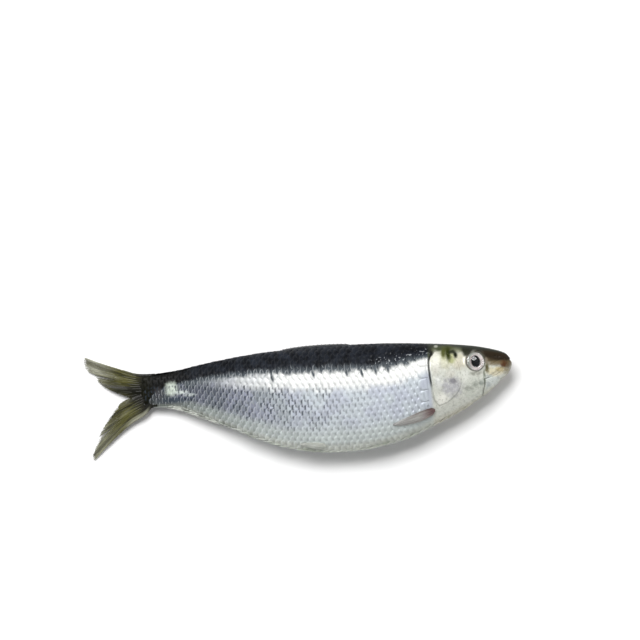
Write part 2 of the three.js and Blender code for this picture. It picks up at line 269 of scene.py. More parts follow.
def inset(outline, station, rise):
    """How far inside an outline each place is, in millimetres; negative outside it."""
    x, y = np.ravel(station), np.ravel(rise)
    nearest = np.full(x.shape, 1e9)
    inside = np.zeros(x.shape, bool)
    for (ax, ay), (bx, by) in zip(outline, np.roll(outline, -1, axis=0)):
        ex, ey = bx - ax, by - ay
        t = np.clip(((x - ax) * ex + (y - ay) * ey) / max(ex * ex + ey * ey, 1e-9), 0, 1)
        nearest = np.minimum(nearest, np.hypot(x - ax - t * ex, y - ay - t * ey))
        if ey:
            inside ^= ((ay > y) != (by > y)) & (x < ax + (y - ay) / ey * ex)
    return np.where(inside, nearest, -nearest).reshape(np.shape(station))


# ---- Meshes ----
def settle(z):
    """Flattens what would lie under the surface, and keeps what is over what."""
    return SETTLE_SOFTNESS * np.logaddexp(0, z / SETTLE_SOFTNESS)


def placed(points):
    """Fish places as places in the row frame, in metres."""
    points = np.array(points, float)
    points[..., 2] = settle(points[..., 2])
    return points * MM + ORIGIN


def grid_faces(rows, columns, ring=False, start=0):
    """Quads over a grid of points; a ring's last column joins its first."""
    i = np.arange(rows - 1)[:, None]
    j = np.arange(columns if ring else columns - 1)[None, :]
    k = (j + 1) % columns
    corners = [i * columns + j, i * columns + k, (i + 1) * columns + k, (i + 1) * columns + j]
    return (np.stack(corners, axis=-1).reshape(-1, 4) + start).tolist()


def capped_faces(rows, columns):
    """Faces of a tube over a grid of points, whose ends close on the two points after them."""
    faces = grid_faces(rows, columns, ring=True)
    for first, middle in ((0, rows * columns), ((rows - 1) * columns, rows * columns + 1)):
        faces += [[first + j, first + (j + 1) % columns, middle] for j in range(columns)]
    return faces


def built(name, points, faces, material, **values):
    """A smooth closed object from fish places, with a number of each name for each vertex."""
    mesh = bpy.data.meshes.new(name)
    mesh.from_pydata(placed(points).tolist(), [], faces)
    thing = shown(name, mesh, material)
    note(thing, **values)
    work = bmesh.new()
    work.from_mesh(mesh)
    bmesh.ops.remove_doubles(work, verts=work.verts, dist=1e-7)
    bmesh.ops.recalc_face_normals(work, faces=work.faces)
    work.to_mesh(mesh)
    work.free()
    mesh.shade_smooth()
    return thing


def linked(name, data):
    """A new object in the scene."""
    thing = bpy.data.objects.new(name, data)
    bpy.context.scene.collection.objects.link(thing)
    return thing


def shown(name, mesh, material):
    mesh.materials.clear()
    mesh.materials.append(material)
    return linked(name, mesh)


def shell(name, outer, inner, material, **values):
    """A closed piece between an outer and an inner grid, with walls round their borders."""
    rows, columns = outer.shape[:2]
    count = rows * columns
    faces = grid_faces(rows, columns) + grid_faces(rows, columns, start=count)
    index = np.arange(count).reshape(rows, columns)
    border = np.concatenate([index[0], index[1:, -1], index[-1, -2::-1], index[-2:0:-1, 0]]).tolist()
    for a, b in zip(border, border[1:] + border[:1]):
        faces.append([a, b, b + count, a + count])
    points = np.concatenate([outer.reshape(-1, 3), inner.reshape(-1, 3)])
    values = {key: np.tile(np.ravel(value), 2) for key, value in values.items()}
    return built(name, points, faces, material, **values)


def note(thing, **values):
    """Stores a number for each vertex, by name."""
    for name, value in values.items():
        layer = thing.data.attributes.new(name, "FLOAT", "POINT")
        layer.data.foreach_set("value", np.ascontiguousarray(value, np.float32))


def vertices(mesh):
    flat_list = np.zeros(len(mesh.vertices) * 3, np.float32)
    mesh.vertices.foreach_get("co", flat_list)
    return flat_list.reshape(-1, 3).astype(float)


def measured(thing):
    """Stores each vertex's station, rise and level, which place the colours on the fish."""
    place = (vertices(thing.data) - ORIGIN) / MM
    station, rise = -place[:, 0], place[:, 1]
    note(thing, station=station, rise=rise, level=level_at(station, rise))
    return thing


def finished(thing, slot, *nodes):
    """Gives a piece its body and hides the CAD nodes that it stands for; the slot, which names its
    finish, is not used.
    """
    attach(thing, "root")
    if nodes:
        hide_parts(*nodes)
    return thing


# ---- Node trees ----
def put(tree, value, socket):
    """Links what a node puts out to a socket, or sets the socket's own value."""
    if isinstance(value, Value):
        value = value.socket
    if isinstance(value, bpy.types.NodeSocket):
        tree.links.new(value, socket)
    elif value is not None:
        socket.default_value = value


class Value:
    """What a node puts out. Its sums, products and powers are nodes too."""

    def __init__(self, graph, socket):
        self.graph, self.socket = graph, socket

    def __add__(self, other):
        return self.graph.math("ADD", self, other)

    def __sub__(self, other):
        return self.graph.math("SUBTRACT", self, other)

    def __rsub__(self, other):
        return self.graph.math("SUBTRACT", other, self)

    def __mul__(self, other):
        return self.graph.math("MULTIPLY", self, other)

    def __truediv__(self, other):
        return self.graph.math("DIVIDE", self, other)

    def __rtruediv__(self, other):
        return self.graph.math("DIVIDE", other, self)

    def __pow__(self, other):
        return self.graph.math("POWER", self, other)

    def __abs__(self):
        return self.graph.math("ABSOLUTE", self)

    __radd__, __rmul__ = __add__, __mul__


class Graph:
    """Adds nodes to a tree. An input is a plain value or what another node puts out."""

    def __init__(self, tree):
        self.tree = tree

    def node(self, kind, inputs=(), **settings):
        node = self.tree.nodes.new(kind)
        for name, value in settings.items():
            setattr(node, name, value)
        for key, value in inputs.items() if isinstance(inputs, dict) else enumerate(inputs):
            put(self.tree, value, node.inputs[key])
        return node

    def value(self, kind, inputs=(), output=0, **settings):
        """What a new node puts out."""
        return Value(self, self.node(kind, inputs, **settings).outputs[output])

    def connect(self, node, **inputs):
        """Links or sets a node's inputs by name."""
        for name, value in inputs.items():
            put(self.tree, value, node.inputs[name.replace("_", " ")])

    def math(self, operation, *values, clamp=False):
        return self.value("ShaderNodeMath", values, operation=operation, use_clamp=clamp)

    def vector(self, operation, *values):
        if operation == "SCALE":
            values = {0: values[0], "Scale": values[1]}
        output = "Value" if operation == "LENGTH" else "Vector"
        return self.value("ShaderNodeVectorMath", values, output, operation=operation)

    def combine(self, x=0.0, y=0.0, z=0.0):
        return self.value("ShaderNodeCombineXYZ", (x, y, z))

    def step(self, value, low, high, start=0.0, end=1.0):
        """A smooth step of a value, from start at low to end at high."""
        limits = (value, low, high, start, end)
        return self.value("ShaderNodeMapRange", limits, interpolation_type="SMOOTHSTEP")

    def mix(self, factor, one, other, blend="MIX"):
        """A colour between two others."""
        inputs = {0: factor, 6: one, 7: other}
        return self.value("ShaderNodeMix", inputs, 2, data_type="RGBA", blend_type=blend)

    def shaded(self, colour, shade):
        """A colour times a grey."""
        return self.mix(1.0, colour, self.combine(shade, shade, shade), "MULTIPLY")

    def noise(self, vector, scale, detail=3.0, roughness=0.5):
        inputs = {"Vector": vector, "Scale": scale, "Detail": detail, "Roughness": roughness}
        return self.value("ShaderNodeTexNoise", inputs)

    def attribute(self, name):
        return self.value("ShaderNodeAttribute", output="Fac", attribute_name=name)

    def profile(self, value, points):
        """A smooth curve of a value from 0 to 1, through (place, value) points."""
        node = self.node("ShaderNodeFloatCurve", (1.0, value))
        curve = node.mapping.curves[0]
        while len(curve.points) < len(points):
            curve.points.new(0.5, 0.5)
        for point, (place, height) in zip(curve.points, points):
            point.location = (place, height)
        node.mapping.update()
        return Value(self, node.outputs[0])


def tree_with(kind, name, inputs, outputs):
    """A node tree with named sockets: (its graph, its inputs by name, its output node)."""
    tree = bpy.data.node_groups.new(name, kind)
    for direction, sockets in (("INPUT", inputs), ("OUTPUT", outputs)):
        for label, (socket_type, default) in sockets.items():
            kind = "NodeSocket" + socket_type
            socket = tree.interface.new_socket(name=label, in_out=direction, socket_type=kind)
            if default is not None:
                socket.default_value = default
    graph = Graph(tree)
    entry = graph.node("NodeGroupInput")
    given = {label: Value(graph, entry.outputs[label]) for label in inputs}
    return graph, given, graph.node("NodeGroupOutput")


def grown(name, tree, seat, material, **values):
    """The plain mesh that a geometry tree makes on a seat mesh."""
    modifier = seat.modifiers.new(name, "NODES")
    modifier.node_group = tree
    values["Material"] = material
    for item in tree.interface.items_tree:
        label = item.name.replace(" ", "_")
        if item.item_type == "SOCKET" and item.in_out == "INPUT" and label in values:
            modifier[item.identifier] = values[label]
    seat.update_tag()
    evaluated = seat.evaluated_get(bpy.context.evaluated_depsgraph_get())
    mesh = bpy.data.meshes.new_from_object(evaluated)
    seat.modifiers.remove(modifier)
    bpy.data.objects.remove(seat)
    mesh.name = name
    place = vertices(mesh)
    place[:, 2] = settle(place[:, 2] / MM) * MM
    mesh.vertices.foreach_set("co", place.ravel().astype(np.float32))
    mesh.update()
    return shown(name, mesh, material)


def scale_cover_tree():
    """Overlapping plates on seats, which say their facing, heading, bend, size and share of tilt."""
    graph, given, result = tree_with("GeometryNodeTree", "Scale Cover", {
        "Seats": ("Geometry", None),
        "Length": ("Float", SCALE_LENGTH * MM),
        "Height": ("Float", SCALE_HEIGHT * MM),
        "Thickness": ("Float", 0.06 * MM),
        "Rear Roundness": ("Float", REAR_ROUNDNESS),
        "Sink": ("Float", 0.12 * MM),
        "Tilt": ("Float", math.radians(2.6)),
        "Tilt Jitter": ("Float", math.radians(0.5)),
        "Seed": ("Int", 3),
        "Material": ("Material", None),
    }, {"Scales": ("Geometry", None)})

    def named(name, kind="FLOAT"):
        return graph.value("GeometryNodeInputNamedAttribute", (name,), data_type=kind)

    def stored(geometry, name, value):
        inputs = {"Geometry": geometry, "Name": name, "Value": value}
        return graph.value("GeometryNodeStoreNamedAttribute", inputs, data_type="FLOAT")

    def moved(geometry, **inputs):
        return graph.value("GeometryNodeSetPosition", {"Geometry": geometry, **inputs})

    # One scale: a tongue with a round rear edge, its front edge at the seat.
    sheet = graph.value("GeometryNodeMeshGrid", (1.0, 1.0, 4, 7))
    corner = graph.value("GeometryNodeInputPosition")
    across = graph.value("ShaderNodeSeparateXYZ", (corner,), "Y") * 2.0
    round_ = graph.math("SQRT", 1.0 - abs(across) ** REAR_POWER)
    shorter = (1.0 - round_) * given["Rear Roundness"]
    along = (graph.value("ShaderNodeSeparateXYZ", (corner,), "X") + 0.5) * (1.0 - shorter)
    sheet = stored(stored(sheet, "along", along), "across", across)
    place = graph.combine(along * given["Length"], across * given["Height"] * 0.5)
    sheet = moved(sheet, Position=place)
    extrude = graph.node("GeometryNodeExtrudeMesh", {
        "Mesh": sheet,
        "Offset": graph.combine(0.0, 0.0, 1.0),
        "Offset Scale": given["Thickness"],
        "Individual": False,
    })
    lifted = (extrude.outputs["Mesh"], extrude.outputs["Top"])
    lifted = graph.value("GeometryNodeSetShadeSmooth", lifted)
    both = graph.node("GeometryNodeJoinGeometry")
    for half in (lifted, graph.value("GeometryNodeFlipFaces", (sheet,))):
        put(graph.tree, half, both.inputs[0])
    scale = {"Geometry": both.outputs[0], "Distance": 1e-6}
    scale = graph.value("GeometryNodeMergeByDistance", scale)

    # Each seat's scale faces out, heads for the tail and is tilted up at its rear edge.
    def random(reach, salt):
        inputs = {2: -reach, 3: reach, "Seed": given["Seed"] + float(salt)}
        return graph.value("FunctionNodeRandomValue", inputs, 1)

    facing, heading = named("facing", "FLOAT_VECTOR"), named("heading", "FLOAT_VECTOR")
    axes = {"primary_axis": "Z", "secondary_axis": "X"}
    turn = graph.value("FunctionNodeAxesToRotation", (facing, heading), **axes)
    lift, size = named("lift"), named("size")
    pitch = (given["Tilt"] + given["Tilt Jitter"] * random(1.0, 1)) * lift
    roll = given["Tilt Jitter"] * random(1.6, 2) * lift
    tilt = graph.value("FunctionNodeEulerToRotation", (graph.combine(roll, pitch * -1.0),))
    pose = graph.value("FunctionNodeRotateRotation", (turn, tilt), rotation_space="LOCAL")
    seats = stored(given["Seats"], "tone", random(1.0, 3))
    seats = moved(seats, Offset=graph.vector("SCALE", facing, given["Sink"] * -1.0))
    cover = graph.value("GeometryNodeInstanceOnPoints", {
        "Points": graph.value("GeometryNodeMeshToPoints", {"Mesh": seats}),
        "Instance": scale,
        "Rotation": pose,
        "Scale": graph.combine(size, size, size),
    })
    cover = graph.value("GeometryNodeRealizeInstances", (cover,))

    # Each scale bends round the body.
    beside = named("across") * given["Height"] * 0.5
    drop = beside ** 2.0 * (named("bend") * -0.5)
    cover = moved(cover, Offset=graph.vector("SCALE", named("facing", "FLOAT_VECTOR"), drop))
    cover = {"Geometry": cover, "Material": given["Material"]}
    graph.connect(result, Scales=graph.value("GeometryNodeSetMaterial", cover))
    return graph.tree


def fin_ray_tree():
    """Tapered rods along the seat mesh's lines, whose points say their girth."""
    graph, given, result = tree_with("GeometryNodeTree", "Fin Rays", {
        "Lines": ("Geometry", None),
        "Sides": ("Int", 6),
        "Girth": ("Float", 1.0),
        "Material": ("Material", None),
    }, {"Rays": ("Geometry", None)})
    girth = graph.value("GeometryNodeInputNamedAttribute", ("girth",), data_type="FLOAT")
    section = {"Resolution": given["Sides"], "Radius": 1.0}
    rods = graph.value("GeometryNodeCurveToMesh", {
        "Curve": graph.value("GeometryNodeMeshToCurve", {"Mesh": given["Lines"]}),
        "Profile Curve": graph.value("GeometryNodeCurvePrimitiveCircle", section),
        "Scale": girth * given["Girth"],
        "Fill Caps": True,
    })
    rods = graph.value("GeometryNodeRealizeInstances", (rods,))
    rods = graph.value("GeometryNodeSetShadeSmooth", (rods,))
    rods = {"Geometry": rods, "Material": given["Material"]}
    graph.connect(result, Rays=graph.value("GeometryNodeSetMaterial", rods))
    return graph.tree


# ---- Shader groups ----
def rgb(red, green, blue):
    """A display colour, 0 to 255, as a linear one."""
    def linear(value):
        value /= 255
        return value / 12.92 if value <= 0.04045 else ((value + 0.055) / 1.055) ** 2.4
    return (linear(red), linear(green), linear(blue), 1.0)


def blot_group():
    """A soft-edged patch of colour, ragged by noise, at a place on the fish."""
    graph, given, result = tree_with("ShaderNodeTree", "Blot", {
        "Under": ("Color", None),
        "Place": ("Vector", None),
        "Centre": ("Vector", None),
        "Size": ("Vector", (1, 1, 1)),
        "Ragged": ("Float", 0.5),
        "Blot": ("Color", None),
        "Strength": ("Float", 1.0),
    }, {"Color": ("Color", None)})
    offset = graph.vector("SUBTRACT", given["Place"], given["Centre"])
    distance = graph.vector("LENGTH", graph.vector("DIVIDE", offset, given["Size"]))
    rag = graph.noise(given["Place"], 0.55, 6.0, 0.68) - 0.5
    mask = graph.step(distance + rag * given["Ragged"], 0.3, 1.25, 1.0, 0.0) * given["Strength"]
    graph.connect(result, Color=graph.mix(mask, given["Under"], given["Blot"]))
    return graph.tree


# Patches on the head: (station, rise), half sizes, raggedness, colour, strength.
HEAD_BLOTS = (
    ((16.0, -9.0), (6.0, 5.0), 1.0, (206, 212, 200), 0.5),
    ((24.5, -7.5), (4.6, 4.6), 1.8, (186, 185, 193), 0.75),
    ((24.2, -5.2), (2.0, 1.3), 2.2, (134, 132, 140), 0.75),
    ((27.5, -8.0), (1.8, 3.6), 1.8, (196, 196, 200), 0.7),
    ((12.9, -7.0), (1.4, 1.2), 1.8, (140, 150, 142), 0.8),
    ((15.4, -7.2), (1.3, 1.6), 1.8, (146, 152, 142), 0.7),
    ((18.0, -8.8), (2.2, 1.2), 1.8, (160, 164, 154), 0.65),
    ((15.2, -3.0), (3.2, 1.0), 1.2, (138, 138, 124), 0.65),
    ((19.8, -3.6), (2.8, 2.6), 1.6, (240, 242, 232), 0.85),
    ((25.0, -2.4), (2.6, 1.8), 1.6, (222, 220, 208), 0.7),
    ((30.8, 1.6), (2.1, 5.4), 1.3, (215, 214, 204), 0.95),
    ((30.2, -5.2), (1.8, 3.0), 1.4, (236, 238, 234), 0.8),
    ((21.5, 1.8), (3.0, 3.0), 1.4, (203, 198, 178), 0.85),
    ((26.6, 2.2), (2.4, 3.0), 1.4, (200, 199, 176), 0.8),
    ((29.2, -12.2), (2.8, 2.9), 1.3, (250, 250, 240), 0.95),
    ((8.6, -6.0), (4.0, 3.2), 1.0, (228, 234, 230), 0.95),
    ((8.8, -2.6), (2.6, 1.7), 1.0, (216, 208, 172), 0.8),
    ((6.6, -3.4), (3.8, 1.9), 1.0, (232, 224, 194), 0.85),
    ((4.8, -2.2), (2.8, 1.5), 1.2, (200, 184, 138), 0.9),
    ((2.4, -3.0), (1.8, 1.6), 1.2, (150, 140, 112), 0.8),
    ((11.6, -4.6), (0.6, 4.6), 1.0, (124, 132, 112), 0.75),
    ((10.2, -8.0), (1.2, 1.8), 1.6, (176, 186, 188), 0.6),
)
# The crown's patches, over the crown's own colours.
CROWN_BLOTS = (
    ((2.2, -0.8), (2.4, 1.8), 1.0, (98, 82, 56), 0.9),
    ((3.4, 2.6), (2.6, 1.4), 0.8, (46, 38, 29), 0.95),
    ((3.6, -0.2), (2.0, 1.5), 1.3, (94, 54, 26), 0.85),
    ((7.0, 0.4), (3.6, 1.1), 1.3, (124, 110, 84), 0.7),
    ((10.3, -1.2), (1.0, 2.8), 1.2, (92, 86, 52), 0.95),
    ((10.3, 1.8), (0.8, 1.5), 1.4, (150, 140, 122), 0.6),
    ((18.4, 5.4), (1.3, 1.5), 1.4, (44, 46, 34), 0.9),
    ((20.9, 4.4), (1.4, 1.2), 1.2, (206, 203, 182), 0.9),
    ((24.2, 2.9), (2.1, 1.5), 1.0, (156, 160, 108), 0.85),
    ((27.0, 5.2), (2.0, 2.4), 1.0, (176, 178, 136), 0.8),
    ((26.0, 7.9), (3.4, 1.3), 1.2, (66, 70, 40), 0.9),
    ((24.1, 4.7), (1.5, 1.4), 0.8, (166, 168, 124), 0.9),
    ((27.2, 6.2), (1.2, 2.6), 0.8, (76, 80, 36), 0.95),
    ((25.4, 5.6), (1.4, 3.7), 0.8, (46, 52, 10), 1.0),
    ((23.7, 6.3), (1.7, 1.0), 0.8, (38, 42, 28), 0.95),
    ((22.5, 5.0), (1.0, 1.7), 0.8, (26, 30, 16), 1.0),
    ((28.9, 7.9), (2.2, 1.2), 1.2, (60, 66, 44), 0.9),
    ((30.2, 4.4), (1.9, 2.0), 0.9, (226, 226, 212), 0.95),
    ((29.9, 8.9), (0.9, 0.6), 1.0, (170, 172, 160), 0.7),
    ((32.2, 6.2), (0.9, 1.3), 0.8, (34, 36, 30), 0.9),
    ((33.8, 4.8), (1.3, 2.4), 1.6, (98, 104, 42), 0.95),
)
# The trunk: a shaded rear flank, pale patches before the tail that are a painted highlight, and a flush
# under the pectoral fin.
TRUNK_BLOTS = (
    ((124.0, -1.4), (10.0, 3.0), 0.8, (86, 90, 101), 0.75),
    # Painted highlight on the tail's root: the next three pale patches.
    ((136.5, 0.4), (2.9, 3.2), 1.2, (206, 216, 204), 1.0),
    ((132.8, -1.1), (3.2, 0.9), 0.6, (206, 214, 210), 0.95),
    ((129.6, -2.4), (2.8, 0.8), 0.6, (198, 206, 204), 0.85),
    ((134.5, -3.9), (9.0, 1.5), 0.8, (62, 72, 84), 0.85),
    ((142.0, -1.2), (2.6, 3.0), 1.2, (74, 72, 74), 0.7),
    ((34.8, -17.3), (2.4, 1.2), 1.2, (124, 84, 84), 0.8),
    ((31.8, -17.8), (1.6, 1.4), 0.8, (222, 206, 198), 0.9),
)
# Dark drops under the edge of the back: (station, rise).
FLANK_DROPS = ((49.9, 2.1), (54.8, 1.7), (60.4, 1.3), (66.4, 1.8), (79.6, 2.4), (96.0, 2.0))


def livery_group():
    """The fish's colours by place: dark back, a bright band that is partly its own silver and partly a
    painted reflection of the light, blue-grey flank, pale belly and head.
    """
    graph, given, result = tree_with("ShaderNodeTree", "Livery", {
        "Streak": ("Float", 0.03),
        "Mottle": ("Float", 0.25),
        "Shift": ("Float", 0.0),
    }, {
        "Color": ("Color", None),
        "Silver": ("Float", None),
        "Dark": ("Float", None),
    })
    mix, step = graph.mix, graph.step
    station, rise, level = (graph.attribute(name) for name in ("station", "rise", "level"))
    place = graph.combine(station, rise)
    along = station / BODY_LENGTH

    # The lower edge of the dark back, as a level, with streaks that follow the scales.
    edge = graph.profile(along, [
        (0, 0.72), (0.06, 0.78), (0.14, 0.86), (0.24, 0.82), (0.29, 0.785), (0.35, 0.755),
        (0.5, 0.762), (0.66, 0.765), (0.77, 0.75), (0.84, 0.715), (0.9, 0.655), (0.94, 0.58),
        (0.97, 0.47), (1, 0.25),
    ])
    streak = graph.noise(graph.combine(station, rise * 0.22), 0.85, 4.0, 0.7) - 0.5
    above = level - edge + streak * given["Streak"] + given["Shift"]
    dusk, dark = step(above, -0.045, 0.02), step(above, 0.0, 0.085)
    for drop_place in FLANK_DROPS:
        shift = graph.vector("SUBTRACT", place, (*drop_place, 0.0))
        slant = graph.value("ShaderNodeVectorRotate", (shift, (0, 0, 0), (0, 0, 1), 0.2))
        narrow = graph.vector("MULTIPLY", slant, (1.15, 0.34, 0.0))
        drop = step(graph.vector("LENGTH", narrow), 0.35, 1.05, 1.0, 0.0)
        dusk = graph.math("MAXIMUM", dusk, drop)

    # The bright band, partly the flank's own silver and partly a painted reflection of the light, the
    # flank and the belly under it, and the dark back over it.
    fade = graph.profile(along, [
        (0, 1), (0.5, 1), (0.62, 0.92), (0.7, 0.66), (0.77, 0.42), (0.84, 0.08), (0.88, 0),
    ])
    # The band's mask: its near-white is partly a painted reflection of the light.
    band_and_painted_sheen = step(above * -1.0, 0.115, 0.225, 1.0, 0.0) * fade
    mottle = graph.noise(place, 0.28, 4.0, 0.6) - 0.5
    tint = step(graph.noise(place, 0.12, 2.0), 0.4, 0.62)
    flank = mix(step(along, 0.52, 0.82), rgb(205, 213, 219), rgb(106, 113, 121))
    flank = mix(step(along, 0.78, 0.92), flank, rgb(84, 90, 94))
    flank = mix(tint * 0.3, flank, rgb(176, 176, 204))
    pale, end = step(along, 0.55, 0.9), step(along, 0.86, 0.97)
    low = mix(pale, rgb(202, 210, 208), rgb(156, 164, 160))
    keel = mix(pale, rgb(202, 206, 197), rgb(180, 184, 178))
    flank = mix(step(level, 0.3, 0.12), flank, mix(end, low, rgb(92, 97, 98)))
    flank = mix(step(level, 0.1, 0.02), flank, mix(end, keel, rgb(140, 145, 140)))
    flank = mix(band_and_painted_sheen, flank, rgb(242, 243, 240))
    night = mix(step(mottle, -0.15, 0.2), rgb(9, 11, 16), rgb(32, 36, 44))
    night = mix(step(along, 0.84, 0.95), night, rgb(16, 16, 15))
    trunk = mix(dark, mix(dusk, flank, rgb(72, 79, 84)), night)

    # Small glints just over the back's edge, behind the head.
    glint = step(graph.noise(place, 1.15, 1.0), 0.6, 0.7) * step(along, 0.42, 0.36, 0.0, 0.5)
    glint = glint * (step(above, 0.0, 0.05) * step(above, 0.15, 0.07))
    trunk = mix(glint, trunk, rgb(222, 227, 230))

    blot = blot_group()

    def blotted(colour, blots):
        for centre, size, ragged, paint, strength in blots:
            colour = graph.value("ShaderNodeGroup", {
                "Under": colour,
                "Place": place,
                "Centre": (*centre, 0.0),
                "Size": (*size, 1.0),
                "Ragged": ragged,
                "Blot": rgb(*paint),
                "Strength": strength,
            }, node_tree=blot)
        return colour

    trunk = blotted(trunk, TRUNK_BLOTS)
    trunk = mix(step(station, 143.0, 147.0), trunk, rgb(22, 22, 13))

    # The head: pale cheeks under a brown crown that passes over the eye and turns olive behind it.
    cheek = mix(step(level, 0.1, 0.0), rgb(222, 224, 214), rgb(196, 194, 178))
    cheek = mix(step(rise, -2.5, 2.0, 0.0, 0.6), cheek, rgb(188, 185, 166))
    head = blotted(cheek, HEAD_BLOTS)
    fleck = graph.noise(place, 0.75, 6.0, 0.72)
    head = mix(step(fleck, 0.5, 0.37, 0.0, 0.36), head, rgb(142, 142, 130))
    head = mix(step(fleck, 0.52, 0.66, 0.0, 0.5), head, rgb(240, 241, 232))
    # The crown's lower edge, over the length of the head, as twelfths of its rise over -2 mm.
    crown_edge = graph.profile(station / HEAD_LENGTH, [
        (0, 0.125), (0.1, 0.117), (0.18, 0.14), (0.24, 0.175), (0.31, 0.25), (0.36, 0.5),
        (0.45, 0.6), (0.54, 0.52), (0.62, 0.65), (0.82, 0.66), (0.91, 0.76), (0.96, 0.66), (1, 0.56),
    ])
    wander = (graph.noise(place, 0.5, 5.0, 0.65) - 0.5) * 2.4
    over = rise + 2.0 - crown_edge * 12.0 + wander
    brown = mix(step(over, 0.0, 2.6), rgb(112, 100, 76), rgb(44, 36, 25))
    olive = mix(step(mottle, -0.15, 0.2), rgb(120, 124, 98), rgb(92, 96, 76))
    crown = mix(step(station, 10.5, 12.5), brown, rgb(34, 34, 26))
    crown = mix(step(station, 19.0, 20.8), crown, olive)
    crown = mix(step(station, 30.4, 32.4), crown, rgb(44, 46, 36))
    crown = mix(step(level, 0.9, 0.99), crown, rgb(40, 44, 36))
    head = blotted(mix(step(over, -1.3, 1.3), head, crown), CROWN_BLOTS)
    colour = mix(step(station, 32.2, 34.0), head, trunk)
    # Painted shade in the gill slit, round the eye and behind the lower jaw.
    colour = mix(graph.attribute("crease"), colour, rgb(38, 42, 40))

    # Fine mottling over it all.
    grain = graph.noise(place, 1.6, 4.0, 0.65) - 0.5
    graph.connect(result, Color=graph.shaded(colour, 0.94 + grain * given["Mottle"]), Dark=dark,
                  Silver=(1.0 - dark) * step(station, 3.0, 30.0, 0.25, 1.0))
    return graph.tree


# ---- Materials ----
def material_with(name):
    material = bpy.data.materials.new(name)
    material.use_nodes = True
    return material, Graph(material.node_tree), material.node_tree.nodes["Principled BSDF"]


def scale_marks_and_painted_light(graph, colour, dark, place, tone):
    """A colour with each scale's painted shadow bar, own brightness and painted highlight on its thin
    rear edge, and its rings' height.
    """
    step = graph.step
    keys = ("station", "level", "along", "across", "size")
    station, level, along, across, size = (graph.attribute(key) for key in keys)
    side = abs(across)
    arc = along + side ** 2.0 * 0.2

    def painted_shadow_behind(ahead, beside):
        """The painted shadow behind the rear edge of a scale so far ahead and beside."""
        off = abs(side - beside * 2 / SCALE_HEIGHT)
        round_ = graph.math("SQRT", graph.math("SUBTRACT", 1.0, off ** REAR_POWER, clamp=True))
        rear = 1 - REAR_ROUNDNESS + round_ * REAR_ROUNDNESS
        behind = along + ahead / SCALE_LENGTH / size - rear
        painted_shadow = step(behind, -0.04, 0.02) * step(behind, 0.07, 0.25, 1.0, 0.0)
        return painted_shadow * step(off, 0.82, 0.5)

    # The painted shadows are uneven over the flank, and faint near the head, the back and the belly.
    painted_shadows = graph.math("MAXIMUM", painted_shadow_behind(SCALE_PITCH, 0.0), painted_shadow_behind(SCALE_PITCH / 2, ROW_PITCH))
    zone = step(station, 50.0, 105.0, 0.22, 1.0) * step(level, 0.69, 0.58, 0.12, 1.0)
    zone = zone * step(level, 0.1, 0.3, 0.2, 1.0)
    uneven = step(graph.noise(place, 0.14, 3.0, 0.6), 0.36, 0.64, 0.25, 1.3) + tone * 0.5
    depth = graph.math("MULTIPLY", painted_shadows, zone * uneven, clamp=True)
    # Painted shadow: a dark bar just behind the rear edge of each scale ahead.
    colour = graph.mix(depth * 0.8, colour, rgb(46, 54, 62))
    colour = graph.shaded(colour, 1.0 + tone * step(station, 45.0, 95.0, 0.04, 0.14))
    # Painted highlight: a thin bright line along each scale's rear edge.
    rim = step(arc, 0.86, 1.0) * step(dark, 1.0, 0.2, 0.015, 0.3) * step(station, 36.0, 75.0, 0.1, 1.0)
    return graph.mix(rim, colour, rgb(226, 230, 234)), graph.math("SINE", arc * 90.0)


def fish_material(name, livery, scaled=False, grain=1.0):
    """Wet skin or scales in the livery's colours."""
    material, graph, shader = material_with(name)
    tone = graph.attribute("tone") if scaled else 0.0
    paint = {"Shift": tone * 0.018, "Streak": 0.06, "Mottle": 0.3}
    paint = graph.node("ShaderNodeGroup", paint, node_tree=livery).outputs
    colour, silver, dark = (Value(graph, paint[key]) for key in ("Color", "Silver", "Dark"))
    place = graph.combine(graph.attribute("station"), graph.attribute("rise"))
    fine = graph.noise(place, 3.0 * grain, 5.0, 0.6)
    rough = graph.step(fine, 0.3, 0.7, 0.26, 0.4)
    height, metal, wet = fine, 0.25, 0.12
    if scaled:
        colour, rings = scale_marks_and_painted_light(graph, colour, dark, place, tone)
        rough = rough + 0.1 + tone * 0.04
        height, metal, wet = fine + rings * 0.15, 0.15, 0.03
    bump = {"Strength": 0.35, "Distance": 0.08 * MM, "Height": height}
    graph.connect(shader, Base_Color=colour, Metallic=silver * metal, Roughness=rough,
                  Normal=graph.value("ShaderNodeBump", bump), Specular_IOR_Level=0.06,
                  Coat_Weight=graph.step(dark, 0.0, 1.0, wet, 0.03), Coat_Roughness=0.25)
    return material


def eye_material():
    """A black pupil in a pearly iris, by distance from the middle of the right or left eye."""
    material, graph, shader = material_with("eye_iris")
    mix, step = graph.mix, graph.step
    ring, spoke = graph.attribute("ring"), graph.attribute("spoke")
    fleck = graph.noise(graph.combine(spoke * 2.2, ring), 3.0, 4.0, 0.6)
    rear = step(graph.math("COSINE", spoke + EYE_SHADE_TURN), -0.3, 0.8)
    iris = mix(step(fleck, 0.35, 0.7), rgb(228, 216, 213), rgb(248, 243, 240))
    iris = mix(rear * step(ring, 0.62, 0.78), iris, rgb(176, 180, 172))
    iris = mix(step(ring, 0.62, 0.54), iris, rgb(150, 140, 140))
    iris = mix(step(ring, 0.86, 0.97), iris, rgb(132, 128, 116))
    tall = graph.math("COSINE", spoke * 2.0)
    colour = mix(step(ring * (1.0 + tall * 0.13), 0.56, 0.5), iris, rgb(9, 10, 13))
    graph.connect(shader, Base_Color=colour, Roughness=0.45, Specular_IOR_Level=0.1)
    return material


def cornea_material():
    """The clear skin over the eye."""
    material, graph, shader = material_with("eye_cornea")
    graph.connect(shader, Base_Color=(1, 1, 1, 1), Roughness=0.02, IOR=1.5, Transmission_Weight=1.0)
    return material


